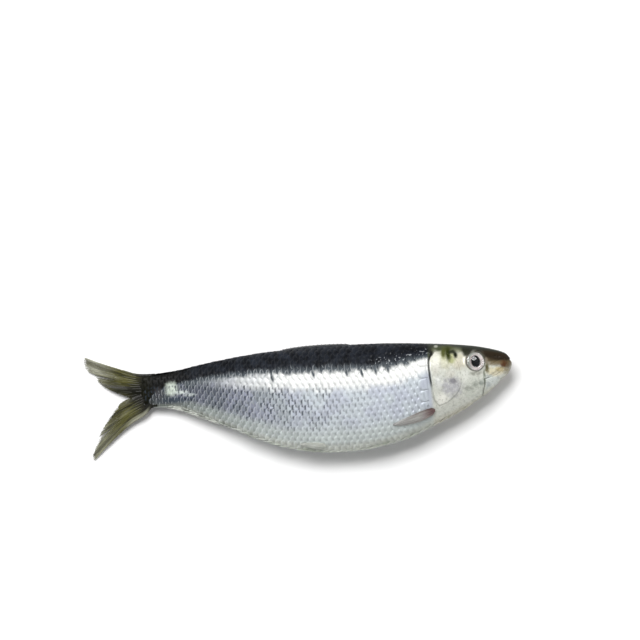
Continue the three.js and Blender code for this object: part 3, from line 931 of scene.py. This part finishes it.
def fin_material(name, root, middle, tip, fork, lead, clear):
    """Fins in three pairs of colours from root to tip, streaked along the rays; clear is the tip's alpha.

    The fork is (colour, strength, start, end) across towards the inner edge, and the lead is (colour,
    strength) along the leading edge, under the fish's axis.
    """
    material, graph, shader = material_with(name)
    mix, step = graph.mix, graph.step
    keys = ("reach", "ray", "out", "station", "rise")
    reach, ray, out, station, rise = (graph.attribute(key) for key in keys)
    fleck = graph.noise(graph.combine(ray * 11.0, out * 1.6), 1.0, 4.0, 0.6)
    fine = graph.noise(graph.combine(station, rise), 2.2, 3.0, 0.6)
    under = step(rise, 2.0, -3.0)

    def pair(colours):
        return mix(step(fleck, 0.36, 0.64), rgb(*colours[0]), rgb(*colours[1]))

    colour = mix(step(reach, 0.06, 0.4), pair(root), pair(middle))
    colour = mix(step(reach, 0.5, 0.95) * step(under, 0.0, 1.0, 1.0, 0.55), colour, pair(tip))
    inner = step(ray, fork[2], fork[3], 0.0, fork[1]) * step(reach, 0.72, 0.4)
    inner = inner * step(under * step(reach, 0.1, 0.3), 0.0, 1.0, 1.0, 0.4)
    colour = mix(inner, colour, rgb(*fork[0]))
    front = step(ray, 0.2, 0.04, 0.0, lead[1]) * step(reach, 0.0, 0.12)
    front = front * (step(reach, 0.62, 0.3) * under)
    colour = graph.shaded(mix(front, colour, rgb(*lead[0])), 0.8 + fine * 0.4)
    bump = {"Strength": 0.3, "Distance": 0.06 * MM, "Height": fine}
    graph.connect(shader, Base_Color=colour, Roughness=step(fine, 0.3, 0.7, 0.35, 0.5),
                  Normal=graph.value("ShaderNodeBump", bump), Specular_IOR_Level=0.2,
                  Coat_Weight=0.15, Coat_Roughness=0.15)
    if clear < 1:
        graph.connect(shader, Alpha=step(reach, 0.3, 1.0, 0.98, clear) + fine * -0.15)
    return material


def fin_pair(name, *looks, clear):
    """The materials of a fin's rays and of its web."""
    return fin_material(name + "_ray", *looks, 1.0), fin_material(name + "_web", *looks, clear)


LIVERY = livery_group()
SKIN = fish_material("wet_skin", LIVERY)
SCALES = fish_material("silver_scales", LIVERY, scaled=True)
GILL_BONE = fish_material("gill_cover_bone", LIVERY, grain=0.7)
JAW_BONE = fish_material("jaw_bone", LIVERY, grain=1.3)
EYE = eye_material()
CORNEA = cornea_material()
TAIL_FIN = fin_pair(
    "tail", ((6, 6, 3), (20, 20, 9)), ((40, 39, 16), (98, 96, 50)), ((100, 99, 80), (158, 158, 140)),
    ((12, 12, 5), 0.9, 0.35, 0.8), ((150, 150, 132), 0.8), clear=0.6)
DORSAL_FIN = fin_pair(
    "dorsal", ((30, 32, 36), (48, 50, 54)), ((46, 48, 52), (72, 74, 76)), ((80, 82, 84), (112, 114, 114)),
    ((40, 42, 46), 0.2, 0.5, 1.0), ((60, 62, 64), 0.0), clear=0.9)
BELLY_FIN = fin_pair(
    "belly", ((178, 182, 174), (194, 197, 187)), ((180, 184, 176), (198, 201, 194)),
    ((172, 176, 169), (198, 199, 193)), ((184, 186, 178), 0.3, 0.5, 1.0),
    ((190, 192, 184), 0.3), clear=0.6)
PECTORAL_FIN = fin_pair(
    "pectoral", ((90, 66, 66), (130, 106, 104)), ((152, 148, 144), (178, 177, 174)),
    ((166, 166, 164), (192, 192, 190)), ((92, 76, 72), 0.9, 0.78, 0.97),
    ((180, 176, 170), 0.5), clear=0.6)


# ---- Body skin ----
def body_relief(station, around):
    """How far the skin stands off the plain form: seats for the head's pieces, folds and pits."""
    level = (1 - np.cos(around)) / 2
    rise = rise_at(station, level)
    relief = np.zeros(station.shape)
    head = station < HEAD_LENGTH + 8
    s, r = station[head], rise[head]
    jaw, cover, lip = (inset(outline, s, r) for outline in (JAW_OUTLINE, GILL_OUTLINE, LIP_OUTLINE))
    eye = np.hypot(s - EYE_STATION, r - EYE_RISE)
    d = -0.75 * ease(cover, -0.1, 0.3)
    slit = swell(cover + 0.3, 0.32) * ease(s, 0.88 * HEAD_LENGTH, 0.93 * HEAD_LENGTH)
    d -= slit * (0.2 + 0.7 * ease(r, -10, -5))
    d = np.minimum(d, -0.55 * ease(lip, -0.1, 0.25))
    d -= 2.9 * ease(eye, EYE_RADIUS + 0.12, EYE_RADIUS - 0.3)
    d += 0.22 * swell(eye - EYE_RADIUS - 0.55, 0.5)
    for nostril_station, nostril_rise in NOSTRILS:
        d -= 0.5 * swell(np.hypot(s - nostril_station, r - nostril_rise), 0.36)
    # The cheek's rear edge, and the throat's rays under the gill cover.
    cheek = np.hypot(s - 17.0, (r + 2.0) * 0.7)
    d -= 0.16 * swell(cheek - 7.2, 0.3) * ease(r, 0.0, -4.0)
    throat = ease(level[head], 0.2, 0.12) * ease(s, 12.5, 16.0) * ease(s, 33.0, 28.0)
    d += 0.06 * throat * np.sin((r + 0.62 * s) * 3.4)
    limit = 0.45 * half_width(s, np.full(s.shape, 0.55)) + 0.05
    d = np.maximum(d, -np.maximum(limit, 0))
    deep = np.minimum(1.15, limit)
    d = np.where(jaw > -0.15, np.minimum(d, -deep * ease(jaw, -0.15, 0.3)), d)
    relief[head] = d
    # The trunk lies just under its scales.
    trunk = ease(station, HEAD_LENGTH, HEAD_LENGTH + 2) * ease(station, BODY_LENGTH, BODY_LENGTH - 4)
    relief -= 0.1 * trunk
    return relief


def painted_crease_shades(station, around):
    """Painted shade on the head: dark lines in the open gill slit, round the eye's socket and behind the
    lower jaw.
    """
    rise = rise_at(station, (1 - np.cos(around)) / 2)
    dark = np.zeros(station.shape)
    head = station < HEAD_LENGTH + 8
    s, r = station[head], rise[head]
    jaw, cover = inset(JAW_OUTLINE, s, r), inset(GILL_OUTLINE, s, r)
    slit = swell(cover + 0.35, 0.5) * ease(s, 0.9 * HEAD_LENGTH, 0.95 * HEAD_LENGTH)
    slit *= 0.18 * ease(r, -14.5, -12.5) + 0.82 * ease(r, -8.5, -4.5) * ease(r, 7.5, 4.5)
    eye = np.hypot(s - EYE_STATION, r - EYE_RISE)
    orbit = 0.5 * swell(eye - EYE_RADIUS - 0.1, 0.4) * ease(s + 0.6 * r, EYE_STATION + 3, EYE_STATION - 2)
    hinge = 0.55 * swell(jaw + 0.2, 0.35) * ease(s, 8.5, 10.5)
    dark[head] = np.clip(np.maximum(np.maximum(slit, orbit), hinge), 0, 0.92)
    return dark


def make_body():
    tip = NOSE_LENGTH * np.linspace(0.02, 1, 16) ** 2
    head = np.arange(NOSE_LENGTH + 0.2, HEAD_LENGTH + 3, 0.21)
    trunk = np.linspace(HEAD_LENGTH + 3.2, BODY_LENGTH, 118)
    end = BODY_LENGTH + ROOT_SLEEVE * np.sin(np.linspace(0.12, math.pi / 2, 9))
    stations = np.concatenate([tip, head, trunk, end])
    around = np.linspace(0, 2 * math.pi, 240, endpoint=False)
    s, a = np.meshgrid(stations, around, indexing="ij")
    points = raised(s, a, body_relief(s, a))
    rows, columns = s.shape
    ends = [points[0].mean(axis=0), points[-1].mean(axis=0)]
    points = np.concatenate([points.reshape(-1, 3), ends])
    # The head's painted shade, one value for each vertex.
    dark = np.append(painted_crease_shades(s, a).ravel(), [0, 0])
    body = built("body_skin", points, capped_faces(rows, columns), SKIN, crease=dark)
    return finished(measured(body), "skin", "body")


# ---- Head plates ----
def rounded(distance, radius):
    """How far a rounded edge has fallen, at a distance in from it."""
    u = np.clip(distance / radius, 0, 1)
    return radius * (1 - np.sqrt(1 - (1 - u) ** 2))


def plate(name, first, second, thickness, raise_, side, relief, material, size):
    """A thin bone that follows a flank between two edges, with a rounded rim."""
    rows, columns = size
    one, two = spline(first, rows), spline(second, rows)
    v = (1 - np.cos(np.linspace(0, math.pi, columns))) / 2
    grid = one[:, None] * (1 - v)[None, :, None] + two[:, None] * v[None, :, None]
    station, level = grid[..., 0], grid[..., 1]
    rise = rise_at(station, level)
    outline = np.concatenate([grid[:, 0], grid[-1, 1:], grid[-2::-1, -1], grid[0, -2:0:-1]])
    outline = np.stack([outline[:, 0], rise_at(outline[:, 0], outline[:, 1])], axis=-1)
    rim = np.maximum(inset(outline, station, rise), 0)
    around = around_at(level, side)
    top = raise_ - rounded(rim, 0.3 * thickness) + relief(station, rise) * ease(rim, 0.2, 0.9)
    outer = raised(station, around, top)
    inner = raised(station, around, np.full(station.shape, raise_ - thickness))
    return shell(name, outer, inner, material)


def gill_relief(station, rise):
    """Fine ridges that fan down and back from the cover's upper front, and the seam of its lower bone."""
    x, y = station - 22.5, rise - 6.5
    angle = np.arctan2(-y, x)
    reach = np.hypot(x, y)
    ridges = np.sin(angle * 46 + 0.25 * np.sin(reach)) * ease(reach, 3.5, 8) * ease(angle, 0.75, 1.05)
    seam = rise + 8.3 - 0.55 * (station - 22)
    return 0.035 * ridges - 0.16 * swell(seam, 0.3) + 0.1 * swell(seam + 1.6, 1.6)


def lip_relief(station, rise):
    return 0.05 * np.sin(station * 2.1) - 0.1 * swell(rise + 0.25 * station - 0.3, 0.3)


def make_head_plates():
    for side, word in ((1, "right"), (-1, "left")):
        cover = plate(word + "_gill_plate", GILL_FRONT, GILL_REAR, PLATE_THICKNESS, PLATE_RAISE, side,
                      gill_relief, GILL_BONE, (88, 56))
        finished(measured(cover), "gill_cover", word + "_gill_cover")
        lip = plate(word + "_jaw_plate", LIP_LOWER, LIP_UPPER, LIP_THICKNESS, LIP_RAISE, side,
                    lip_relief, JAW_BONE, (48, 18))
        finished(measured(lip), "jaw", word + "_upper_jaw")


def make_lower_jaw():
    """A trough of bone from the chin back to its joint, between the two mouth lines."""
    mouth = through(MOUTH_LINE)
    rear = (JAW_JOINT[-1], JAW_JOINT[0], MOUTH_LINE[-1])
    joint = through([(level, station) for station, level in rear])
    u = np.linspace(0, 1, 84)[:, None] ** 1.25
    v = np.sin(np.linspace(-math.pi / 2, math.pi / 2, 90))[None, :]
    top = around_at(mouth(np.maximum(u * MOUTH_LINE[-1][0], MOUTH_LINE[0][0])))
    around = v * top
    station = 0.03 + u * joint((1 - np.cos(around)) / 2)
    to_lip = (1 - np.abs(v)) * top * 0.5 * (back(station) - belly(station))
    to_joint = (1 - u) * JAW_JOINT[-1][0] + 0 * to_lip
    thickness = np.minimum(JAW_THICKNESS, 0.4 * half_width(station, np.full(station.shape, 0.55)) + 0.04)
    fall = np.maximum(rounded(to_lip, 0.4), rounded(to_joint, 0.4))
    fold = 0.1 * np.sin(around * 9) * ease(station, 3, 6) * ease(np.abs(v), 0.75, 0.5)
    outer = raised(station, around, fold - np.minimum(fall, 0.8 * thickness))
    inner = raised(station, around, -thickness)
    jaw = shell("chin_and_lower_jaw", outer, inner, JAW_BONE)
    finished(measured(jaw), "jaw", "lower_jaw")


# ---- Eyes ----
def lathe(name, profile, side, material):
    """A round piece of the eye: (radius, height) along its axis, which points out of the head."""
    turns = 56
    seat = np.array(EYE_STATION), np.array(around_at(EYE_LEVEL, side))
    middle, axis = skin(*seat), skin_normal(*seat)
    across = np.cross(axis, [0, 1, 0])
    across /= np.linalg.norm(across)
    up = np.cross(axis, across)
    angle = np.linspace(0, 2 * math.pi, turns, endpoint=False)[None, :, None]
    radius, height = (np.array(column)[:, None, None] for column in zip(*profile))
    round_ = across * np.cos(angle) + up * np.sin(angle)
    points = middle + axis * height + round_ * radius
    ends = [middle + axis * profile[0][1], middle + axis * profile[-1][1]]
    points = np.concatenate([points.reshape(-1, 3), ends])
    thing = built(name, points, capped_faces(len(profile), turns), material)
    place = (vertices(thing.data) - ORIGIN) / MM - middle
    x, y = place @ across, place @ up
    note(thing, ring=np.hypot(1.06 * x, 0.95 * y) / EYE_RADIUS, spoke=np.arctan2(y, x))
    return thing


def make_eyes():
    bowl = [(0.02, 0.1), (0.9, 0.12), (1.7, 0.05), (2.0, -0.06), (2.15, 0.02), (2.5, 0.12), (3.0, 0.1),
            (3.4, 0.0), (3.7, -0.25), (3.78, -0.7), (3.6, -1.5), (2.8, -2.3), (1.5, -2.8), (0.02, -2.95)]
    dome = [(3.62 * math.sin(t), 0.15 + 0.5 * math.cos(t)) for t in np.linspace(0.01, math.pi / 2, 14)]
    dome += [(3.5, 0.1), (2.4, 0.18), (1.2, 0.2), (0.02, 0.22)]
    for side, word in ((1, "right"), (-1, "left")):
        finished(lathe(word + "_eyeball", bowl, side, EYE), "eye", word + "_eye")
        finished(lathe(word + "_cornea", dome, side, CORNEA), "eye")


# ---- Scales and belly scutes ----
def seat_mesh(name, station, around, size, lift, raise_):
    """Seat points on the body, with the way each faces, the way to the tail and the body's bend there."""
    facing = skin_normal(station, around)
    heading = skin(station + 0.3, around) - skin(station - 0.3, around)
    heading /= np.linalg.norm(heading, axis=1, keepdims=True)
    up = skin(station, around + 0.02) - skin(station, around - 0.02)
    turned = skin_normal(station, around + 0.02) - skin_normal(station, around - 0.02)
    bend = np.linalg.norm(turned, axis=1) / np.maximum(np.linalg.norm(up, axis=1), 1e-6)
    mesh = bpy.data.meshes.new(name)
    points = raised(station, around, raise_) * MM + ORIGIN
    mesh.from_pydata(points.tolist(), [], [])
    for key, value in (("facing", facing), ("heading", heading)):
        layer = mesh.attributes.new(key, "FLOAT_VECTOR", "POINT")
        layer.data.foreach_set("vector", value.ravel().astype(np.float32))
    seat = linked(name, mesh)
    note(seat, bend=np.clip(bend, 0, 0.3) / MM, size=size, lift=lift)
    return seat


def scale_seats(side):
    """Staggered rows of seats, from the lateral middle line outwards, behind the head."""
    fan = np.linspace(0, math.pi, 400)
    stations, arounds, sizes = [], [], []
    columns = int((BODY_LENGTH + 2.5 - FIRST_SCALE) / SCALE_PITCH * 2)
    for column in range(columns):
        station = FIRST_SCALE + column * SCALE_PITCH / 2
        ring = skin(np.full(fan.shape, station), fan)
        arc = np.concatenate([[0], np.cumsum(np.linalg.norm(np.diff(ring, axis=0), axis=1))])
        middle = np.interp(0.52, (1 - np.cos(fan)) / 2, arc)
        size = float(1 - 0.3 * ease(station, 95, 145))
        pitch = ROW_PITCH * size * 2
        start = middle + pitch * (0.5 * (column % 2))
        for row in range(-14, 14):
            reach = start + row * pitch
            if 0.6 < reach < arc[-1] - 0.3:
                stations.append(station)
                arounds.append(side * np.interp(reach, arc, fan))
                sizes.append(size)
    stations = np.array(stations)
    return stations, np.array(arounds), np.array(sizes), 0.36 + 0.64 * ease(stations, 34, 66)


def make_scales():
    tree = scale_cover_tree()
    for side, word in ((1, "right"), (-1, "left")):
        station, around, size, lift = scale_seats(side)
        # Scales that lie flatter are sunk less, so that their rear edges still show.
        # The first row starts in the skin.
        raise_ = 0.045 * ease(station, 34, 48) * ease(station, 70, 46) - 0.022 * ease(station, 44, 34)
        seat = seat_mesh(word + "_scale_seats", station, around, size, lift, raise_)
        scales = grown(word + "_scales", tree, seat, SCALES, Seed=5 + side)
        finished(measured(scales), "skin")
    stations = np.arange(17.0, 112.0, 3.2)
    one = np.ones(stations.shape)
    keel = seat_mesh("scute_seats", stations, 0 * one, one, one, 0.05)
    keel.data.attributes["bend"].data.foreach_set("value", np.full(len(stations), 0.9 / MM, np.float32))
    scutes = grown("belly_scutes", tree, keel, SCALES, Length=4.6 * MM, Height=2.4 * MM,
                   Thickness=0.22 * MM, Sink=0.05 * MM, Tilt=math.radians(4.5),
                   Tilt_Jitter=0.0, Rear_Roundness=0.75)
    finished(measured(scutes), "skin")


# ---- Fins ----
def ray_lines(name, rods):
    """Line seats for rays. A rod is its fish places, girths, place across the fin and places along it."""
    points, edges, girth, ray, out = [], [], [], [], []
    for path, thick, across, along in rods:
        edges.extend((len(points) + i, len(points) + i + 1) for i in range(len(path) - 1))
        points.extend(path)
        girth.extend(thick)
        ray.extend([across] * len(path))
        out.extend(along)
    mesh = bpy.data.meshes.new(name)
    mesh.from_pydata((np.array(points) * MM + ORIGIN).tolist(), edges, [])
    seat = linked(name, mesh)
    note(seat, girth=np.array(girth) * MM, ray=ray, out=out)
    return seat


def fin_finished(thing, *nodes, reach_from=None):
    """Stores how far out on its fin each vertex is: along its rays, or by station from (root, length)."""
    count = len(thing.data.vertices)
    out, ray = np.zeros(count, np.float32), np.zeros(count, np.float32)
    thing.data.attributes["out"].data.foreach_get("value", out)
    thing.data.attributes["ray"].data.foreach_get("value", ray)
    reach = out
    if reach_from:
        station = -((vertices(thing.data) - ORIGIN) / MM)[:, 0]
        reach = (station - reach_from[0]) / reach_from[1] * (1.15 - 0.5 * ray**1.5)
    note(thing, reach=np.clip(reach, 0, 1))
    finished(measured(thing), "fin", *nodes)


def web(name, middle, thickness, ray, out, material):
    """A fin's thin closed sheet about a grid of fish places; its thickness is along z."""
    half = np.zeros(middle.shape)
    half[..., 2] = thickness / 2
    return shell(name, middle + half, middle - half, material, ray=ray, out=out)


# Each lobe's leading edge, as (share of the fin's length, share of the lobe's rise or drop).
UPPER_EDGE = ((0, 0.426), (0.2, 0.465), (0.42, 0.605), (0.68, 0.775), (0.97, 1))
LOWER_EDGE = (
    (0, 0.229), (0.12, 0.35), (0.3, 0.445), (0.44, 0.545), (0.58, 0.655), (0.72, 0.78),
    (0.86, 0.91), (0.955, 1),
)
# Where each ray ends: (place across the lobe, from its leading edge to the fork, share of the
# fin's length, share of the lobe's rise).
UPPER_TRAIL = (
    (0, 0.975, 1), (0.08, 1, 0.94), (0.24, 0.985, 0.72), (0.34, 0.93, 0.61), (0.44, 0.83, 0.5),
    (0.56, 0.8, 0.36), (0.72, 0.69, 0.2), (0.86, 0.54, 0.04), (1, 0.31, -0.125),
)
LOWER_TRAIL = (
    (0, 0.96, 1), (0.07, 0.99, 0.97), (0.2, 0.94, 0.83), (0.33, 0.86, 0.67), (0.44, 0.82, 0.58),
    (0.56, 0.74, 0.45), (0.68, 0.66, 0.345), (0.8, 0.56, 0.22), (0.9, 0.45, 0.12), (1, 0.31, 0.078),
)
TAIL_ROOT = BODY_LENGTH + GAP
ROOT_OVERLAP = 0.1  # how far back into the body the rays start, as a share of their length
LOWEST_FIN = 0.35  # the height that the tail's rays keep over the surface


class Lobe:
    """One lobe of the tail fin: rays fan from the root to the trailing edge."""

    def __init__(self, name, edge, trail, scale, sign, split):
        shares, along, rise = np.array(trail).T
        self.name = name
        self.edge = through(edge)
        self.end_along = through(list(zip(shares, along)))
        self.end_rise = through(list(zip(shares, rise)))
        self.tip_along, self.tip_rise = trail[0][1:]
        self.scale, self.sign, self.split = scale, sign, split

    def place(self, across, out):
        """A fish place: across goes from the leading edge to the fork, out from the root to the end."""
        first = self.edge(0.0)
        root_rise = first * (1 - across) - 0.02 * across
        bow = self.edge(out * self.tip_along) - first - (self.tip_rise - first) * out
        along = self.end_along(across) * out
        rise = root_rise + (self.end_rise(across) - root_rise) * out + bow * (1 - across) ** 1.5
        split_at, split_from, width = self.split
        beside = across - split_at
        apart = width * ease(out, split_from, 1.0) * np.sign(beside) * swell(beside, 0.12)
        station = TAIL_ROOT + along * TAIL_LENGTH
        z = spine(station)
        wave = 0.28 * np.sin(across * 17 + 2 * along) * along * ease(out, 0.2, 0.7)
        rise = (rise - apart) * self.scale * self.sign
        return np.stack(np.broadcast_arrays(-station, rise, np.maximum(z + wave, LOWEST_FIN)), axis=-1)


def fray(across, depth, seed):
    """How much shorter the web is than its rays, ragged from ray to ray and whole on the leading edge."""
    ragged = []
    for place in across:
        broad = noise.noise(Vector((place * 23, seed, 0.5)))
        ragged.append(broad + 0.6 * noise.noise(Vector((place * 61, seed, 3.5))))
    return depth * np.clip(0.5 + np.array(ragged), 0, 1.4) * ease(across, 0, 0.1)


def make_tail(tree):
    lobes = (
        Lobe("upper", UPPER_EDGE, UPPER_TRAIL, UPPER_LOBE_RISE, 1, (0.44, 0.6, 0.022)),
        Lobe("lower", LOWER_EDGE, LOWER_TRAIL, LOWER_LOBE_DROP, -1, (0.33, 0.66, 0.018)),
    )
    whole = (TAIL_ROOT, TAIL_LENGTH)
    rods = []
    for index, lobe in enumerate(lobes):
        split_at = lobe.split[0]
        halves = ("outer", 0.0, split_at - 0.004, 46), ("inner", split_at + 0.004, 1.0, 58)
        for part, low, high, count in halves:
            across = np.linspace(low, high, count)[None, :]
            short = fray(across[0], 0.08, 3.0 * index + count)
            out = np.linspace(-ROOT_OVERLAP, 1, 50)[:, None]
            out = np.where(out > 0, out * (1 - short), out)
            across = across + 0 * out
            name = f"tail_web_{lobe.name}_{part}"
            thickness = 1.1 * (1 - np.clip(out, 0, 1)) ** 1.5 + 0.12
            sheet = web(name, lobe.place(across, out), thickness, across, out, TAIL_FIN[1])
            fin_finished(sheet, *(["tail_fin"] if not rods else []), reach_from=whole)

        rays = 10
        step = 0.96 / (rays - 1)
        for across in 0.012 + step * np.arange(rays):
            out = np.linspace(-ROOT_OVERLAP, 0.42, 10)
            rods.append((lobe.place(across + 0 * out, out), 0.62 - 0.5 * np.abs(out), across, out))
            for fork in (-1, 1):
                out = np.linspace(0.38, 0.74, 9)
                spread = np.clip(across + fork * step * 0.2 * ease(out, 0.38, 0.7), 0.004, 0.996)
                rods.append((lobe.place(spread, out), 0.3 - 0.22 * (out - 0.38), across, out))
                for twig in (-1, 1):
                    out = np.linspace(0.7, 1.0, 8)
                    end = np.clip(spread[-1] + twig * step * 0.12 * ease(out, 0.7, 0.95), 0.004, 0.996)
                    rods.append((lobe.place(end, out), 0.19 - 0.4 * (out - 0.7), across, out))
    fan = grown("tail_rays", tree, ray_lines("tail_ray_lines", rods), TAIL_FIN[0])
    fin_finished(fan, reach_from=whole)


def ridge_fin(name, start, length, rise, outline, rays, tree, node, materials):
    """A fin folded down on the outline: short slanted rays in a low web."""
    crest = through([(0, 0), (0.3, 0.75), (0.6, 1), (0.85, 0.7), (1, 0.1)])
    sign = math.copysign(1, float(outline(start)))
    sunk, slant = 0.6, 0.14

    def place(base, out):
        station = start + base * length * (1 - slant) + out * length * slant
        top = GAP + rise * crest((station - start) / length)
        y = outline(station) + sign * (-sunk + (top + sunk) * out)
        z = spine(station) + 0.12 * np.sin(base * 90)
        return np.stack(np.broadcast_arrays(-station, y, z), axis=-1)

    base, out = np.meshgrid(np.linspace(0, 1, 90), np.linspace(0, 1, 8), indexing="ij")
    fin_finished(web(name + "_web", place(base, out), 0.5 - 0.25 * out, base, out, materials[1]), node)
    out = np.linspace(0, 1, 6)
    girth = 0.34 - 0.18 * out
    rods = [(place(base + 0 * out, out), girth, base, out) for base in np.linspace(0, 1, rays)]
    fin_finished(grown(name + "_rays", tree, ray_lines(name + "_lines", rods), materials[0]))


def folded_fin(name, root_station, root_level, length, width, rays, side, tree, node, materials):
    """A paired fin folded back along the flank: a narrow web on rays that fan from its root."""
    widths = through([(0, 0.08), (0.06, 0.34), (0.2, 0.46), (0.4, 0.5), (0.75, 0.34), (1, 0.08)])

    def place(across, out, lift):
        station = root_station + out * length
        level = root_level + across * widths(out) * width / (back(station) - belly(station))
        return raised(station, around_at(np.clip(level, 0.005, 0.995), side), lift)

    thickness, dish = 0.28, 0.16
    out, across = np.meshgrid(np.linspace(0, 1, 60), np.linspace(-1, 1, 40), indexing="ij")
    lift = 2 * GAP + 0.1 * np.cos(across * math.pi * (rays - 1) / 2) - dish * across**2
    under = place(across, out, lift - thickness)
    sheet = shell(name + "_web", place(across, out, lift), under, materials[1],
                  ray=(across + 1) / 2, out=out)
    fin_finished(sheet, node)
    rods = []
    for across in np.linspace(-1, 1, rays):
        out = np.linspace(0.0, 1 - 0.12 * abs(across), 14)
        path = place(0.96 * across + 0 * out, out, 2 * GAP - dish * across**2 + 0 * out)
        rods.append((path, 0.24 - 0.16 * out, (across + 1) / 2, out))
    fin_finished(grown(name + "_rays", tree, ray_lines(name + "_lines", rods), materials[0]))


def make_fins():
    tree = fin_ray_tree()
    make_tail(tree)
    ridge_fin("dorsal", start=62.0, length=29.0, rise=0.6, outline=back, rays=17,
              tree=tree, node="dorsal_fin", materials=DORSAL_FIN)
    ridge_fin("anal", start=BODY_LENGTH - 31.0, length=26.0, rise=1.3, outline=belly, rays=18,
              tree=tree, node="anal_fin", materials=BELLY_FIN)
    for side, word in ((1, "right"), (-1, "left")):
        folded_fin(word + "_pectoral", root_station=0.985 * HEAD_LENGTH, root_level=0.178,
                   length=17.0, width=3.6, rays=8, side=side, tree=tree,
                   node=word + "_pectoral_fin", materials=PECTORAL_FIN)
        folded_fin(word + "_pelvic", root_station=0.53 * BODY_LENGTH, root_level=0.055,
                   length=10.0, width=2.4, rays=6, side=side, tree=tree,
                   node=word + "_pelvic_fin", materials=BELLY_FIN)


# ---- Stage ----
def soft_light(name, place, width, depth, power):
    """A soft box that faces the middle of the fish."""
    light = bpy.data.lights.new(name, "AREA")
    light.shape = "RECTANGLE"
    light.size, light.size_y, light.energy = width, depth, power
    lamp = linked(name, light)
    lamp.location = place
    aim = Vector((0, 0, 0.01)) - Vector(place)
    lamp.rotation_euler = aim.to_track_quat("-Z", "Y").to_euler()


def make_stage():
    reach = 4.0
    corners = [(-reach, -reach, 0), (reach, -reach, 0), (reach, reach, 0), (-reach, reach, 0)]
    floor_mesh = bpy.data.meshes.new("floor")
    floor_mesh.from_pydata(corners, [], [(0, 1, 2, 3)])
    white, graph, shader = material_with("white_floor")
    graph.connect(shader, Base_Color=(0.97, 0.97, 0.97, 1), Roughness=0.7, Specular_IOR_Level=0.1)
    shown("floor", floor_mesh, white)

    soft_light("key_softbox", (-0.55, 1.22, 1.95), width=1.7, depth=1.2, power=68.0)
    soft_light("catch_light", (0.98, 1.08, 1.85), width=0.32, depth=0.28, power=2.8)
    soft_light("fill_softbox", (0.5, -1.6, 1.9), width=1.6, depth=1.0, power=2.5)

    # The sky is dimmer overhead than at its edges.
    world = bpy.data.worlds.new("studio")
    world.use_nodes = True
    sky = Graph(world.node_tree)
    direction = sky.value("ShaderNodeTexCoord", output="Generated")
    height = sky.value("ShaderNodeSeparateXYZ", (direction,), "Z")
    background = world.node_tree.nodes["Background"]
    sky.connect(background, Color=(1, 1, 1, 1), Strength=sky.step(height, 0.62, 0.9, 0.42, 0.08))
    bpy.context.scene.world = world
    bpy.context.scene.view_settings.view_transform = "Standard"


def make_camera():
    """Straight down through a long lens, turned as the fish lies in the view."""
    view_width, distance, turn = 0.256, 1.7, math.radians(-4.703)
    camera = bpy.data.cameras.new("camera")
    camera.lens = camera.sensor_width * distance / view_width
    camera.clip_start, camera.clip_end = 0.1, 20
    middle = ORIGIN[:2] + np.array([-75.07, 23.19]) * MM
    holder = linked("camera", camera)
    holder.location = (*middle, distance + 0.008)
    holder.rotation_euler = (0, 0, turn)
    bpy.context.scene.camera = holder


make_stage()
make_camera()
make_body()
make_head_plates()
make_lower_jaw()
make_eyes()
make_scales()
make_fins()
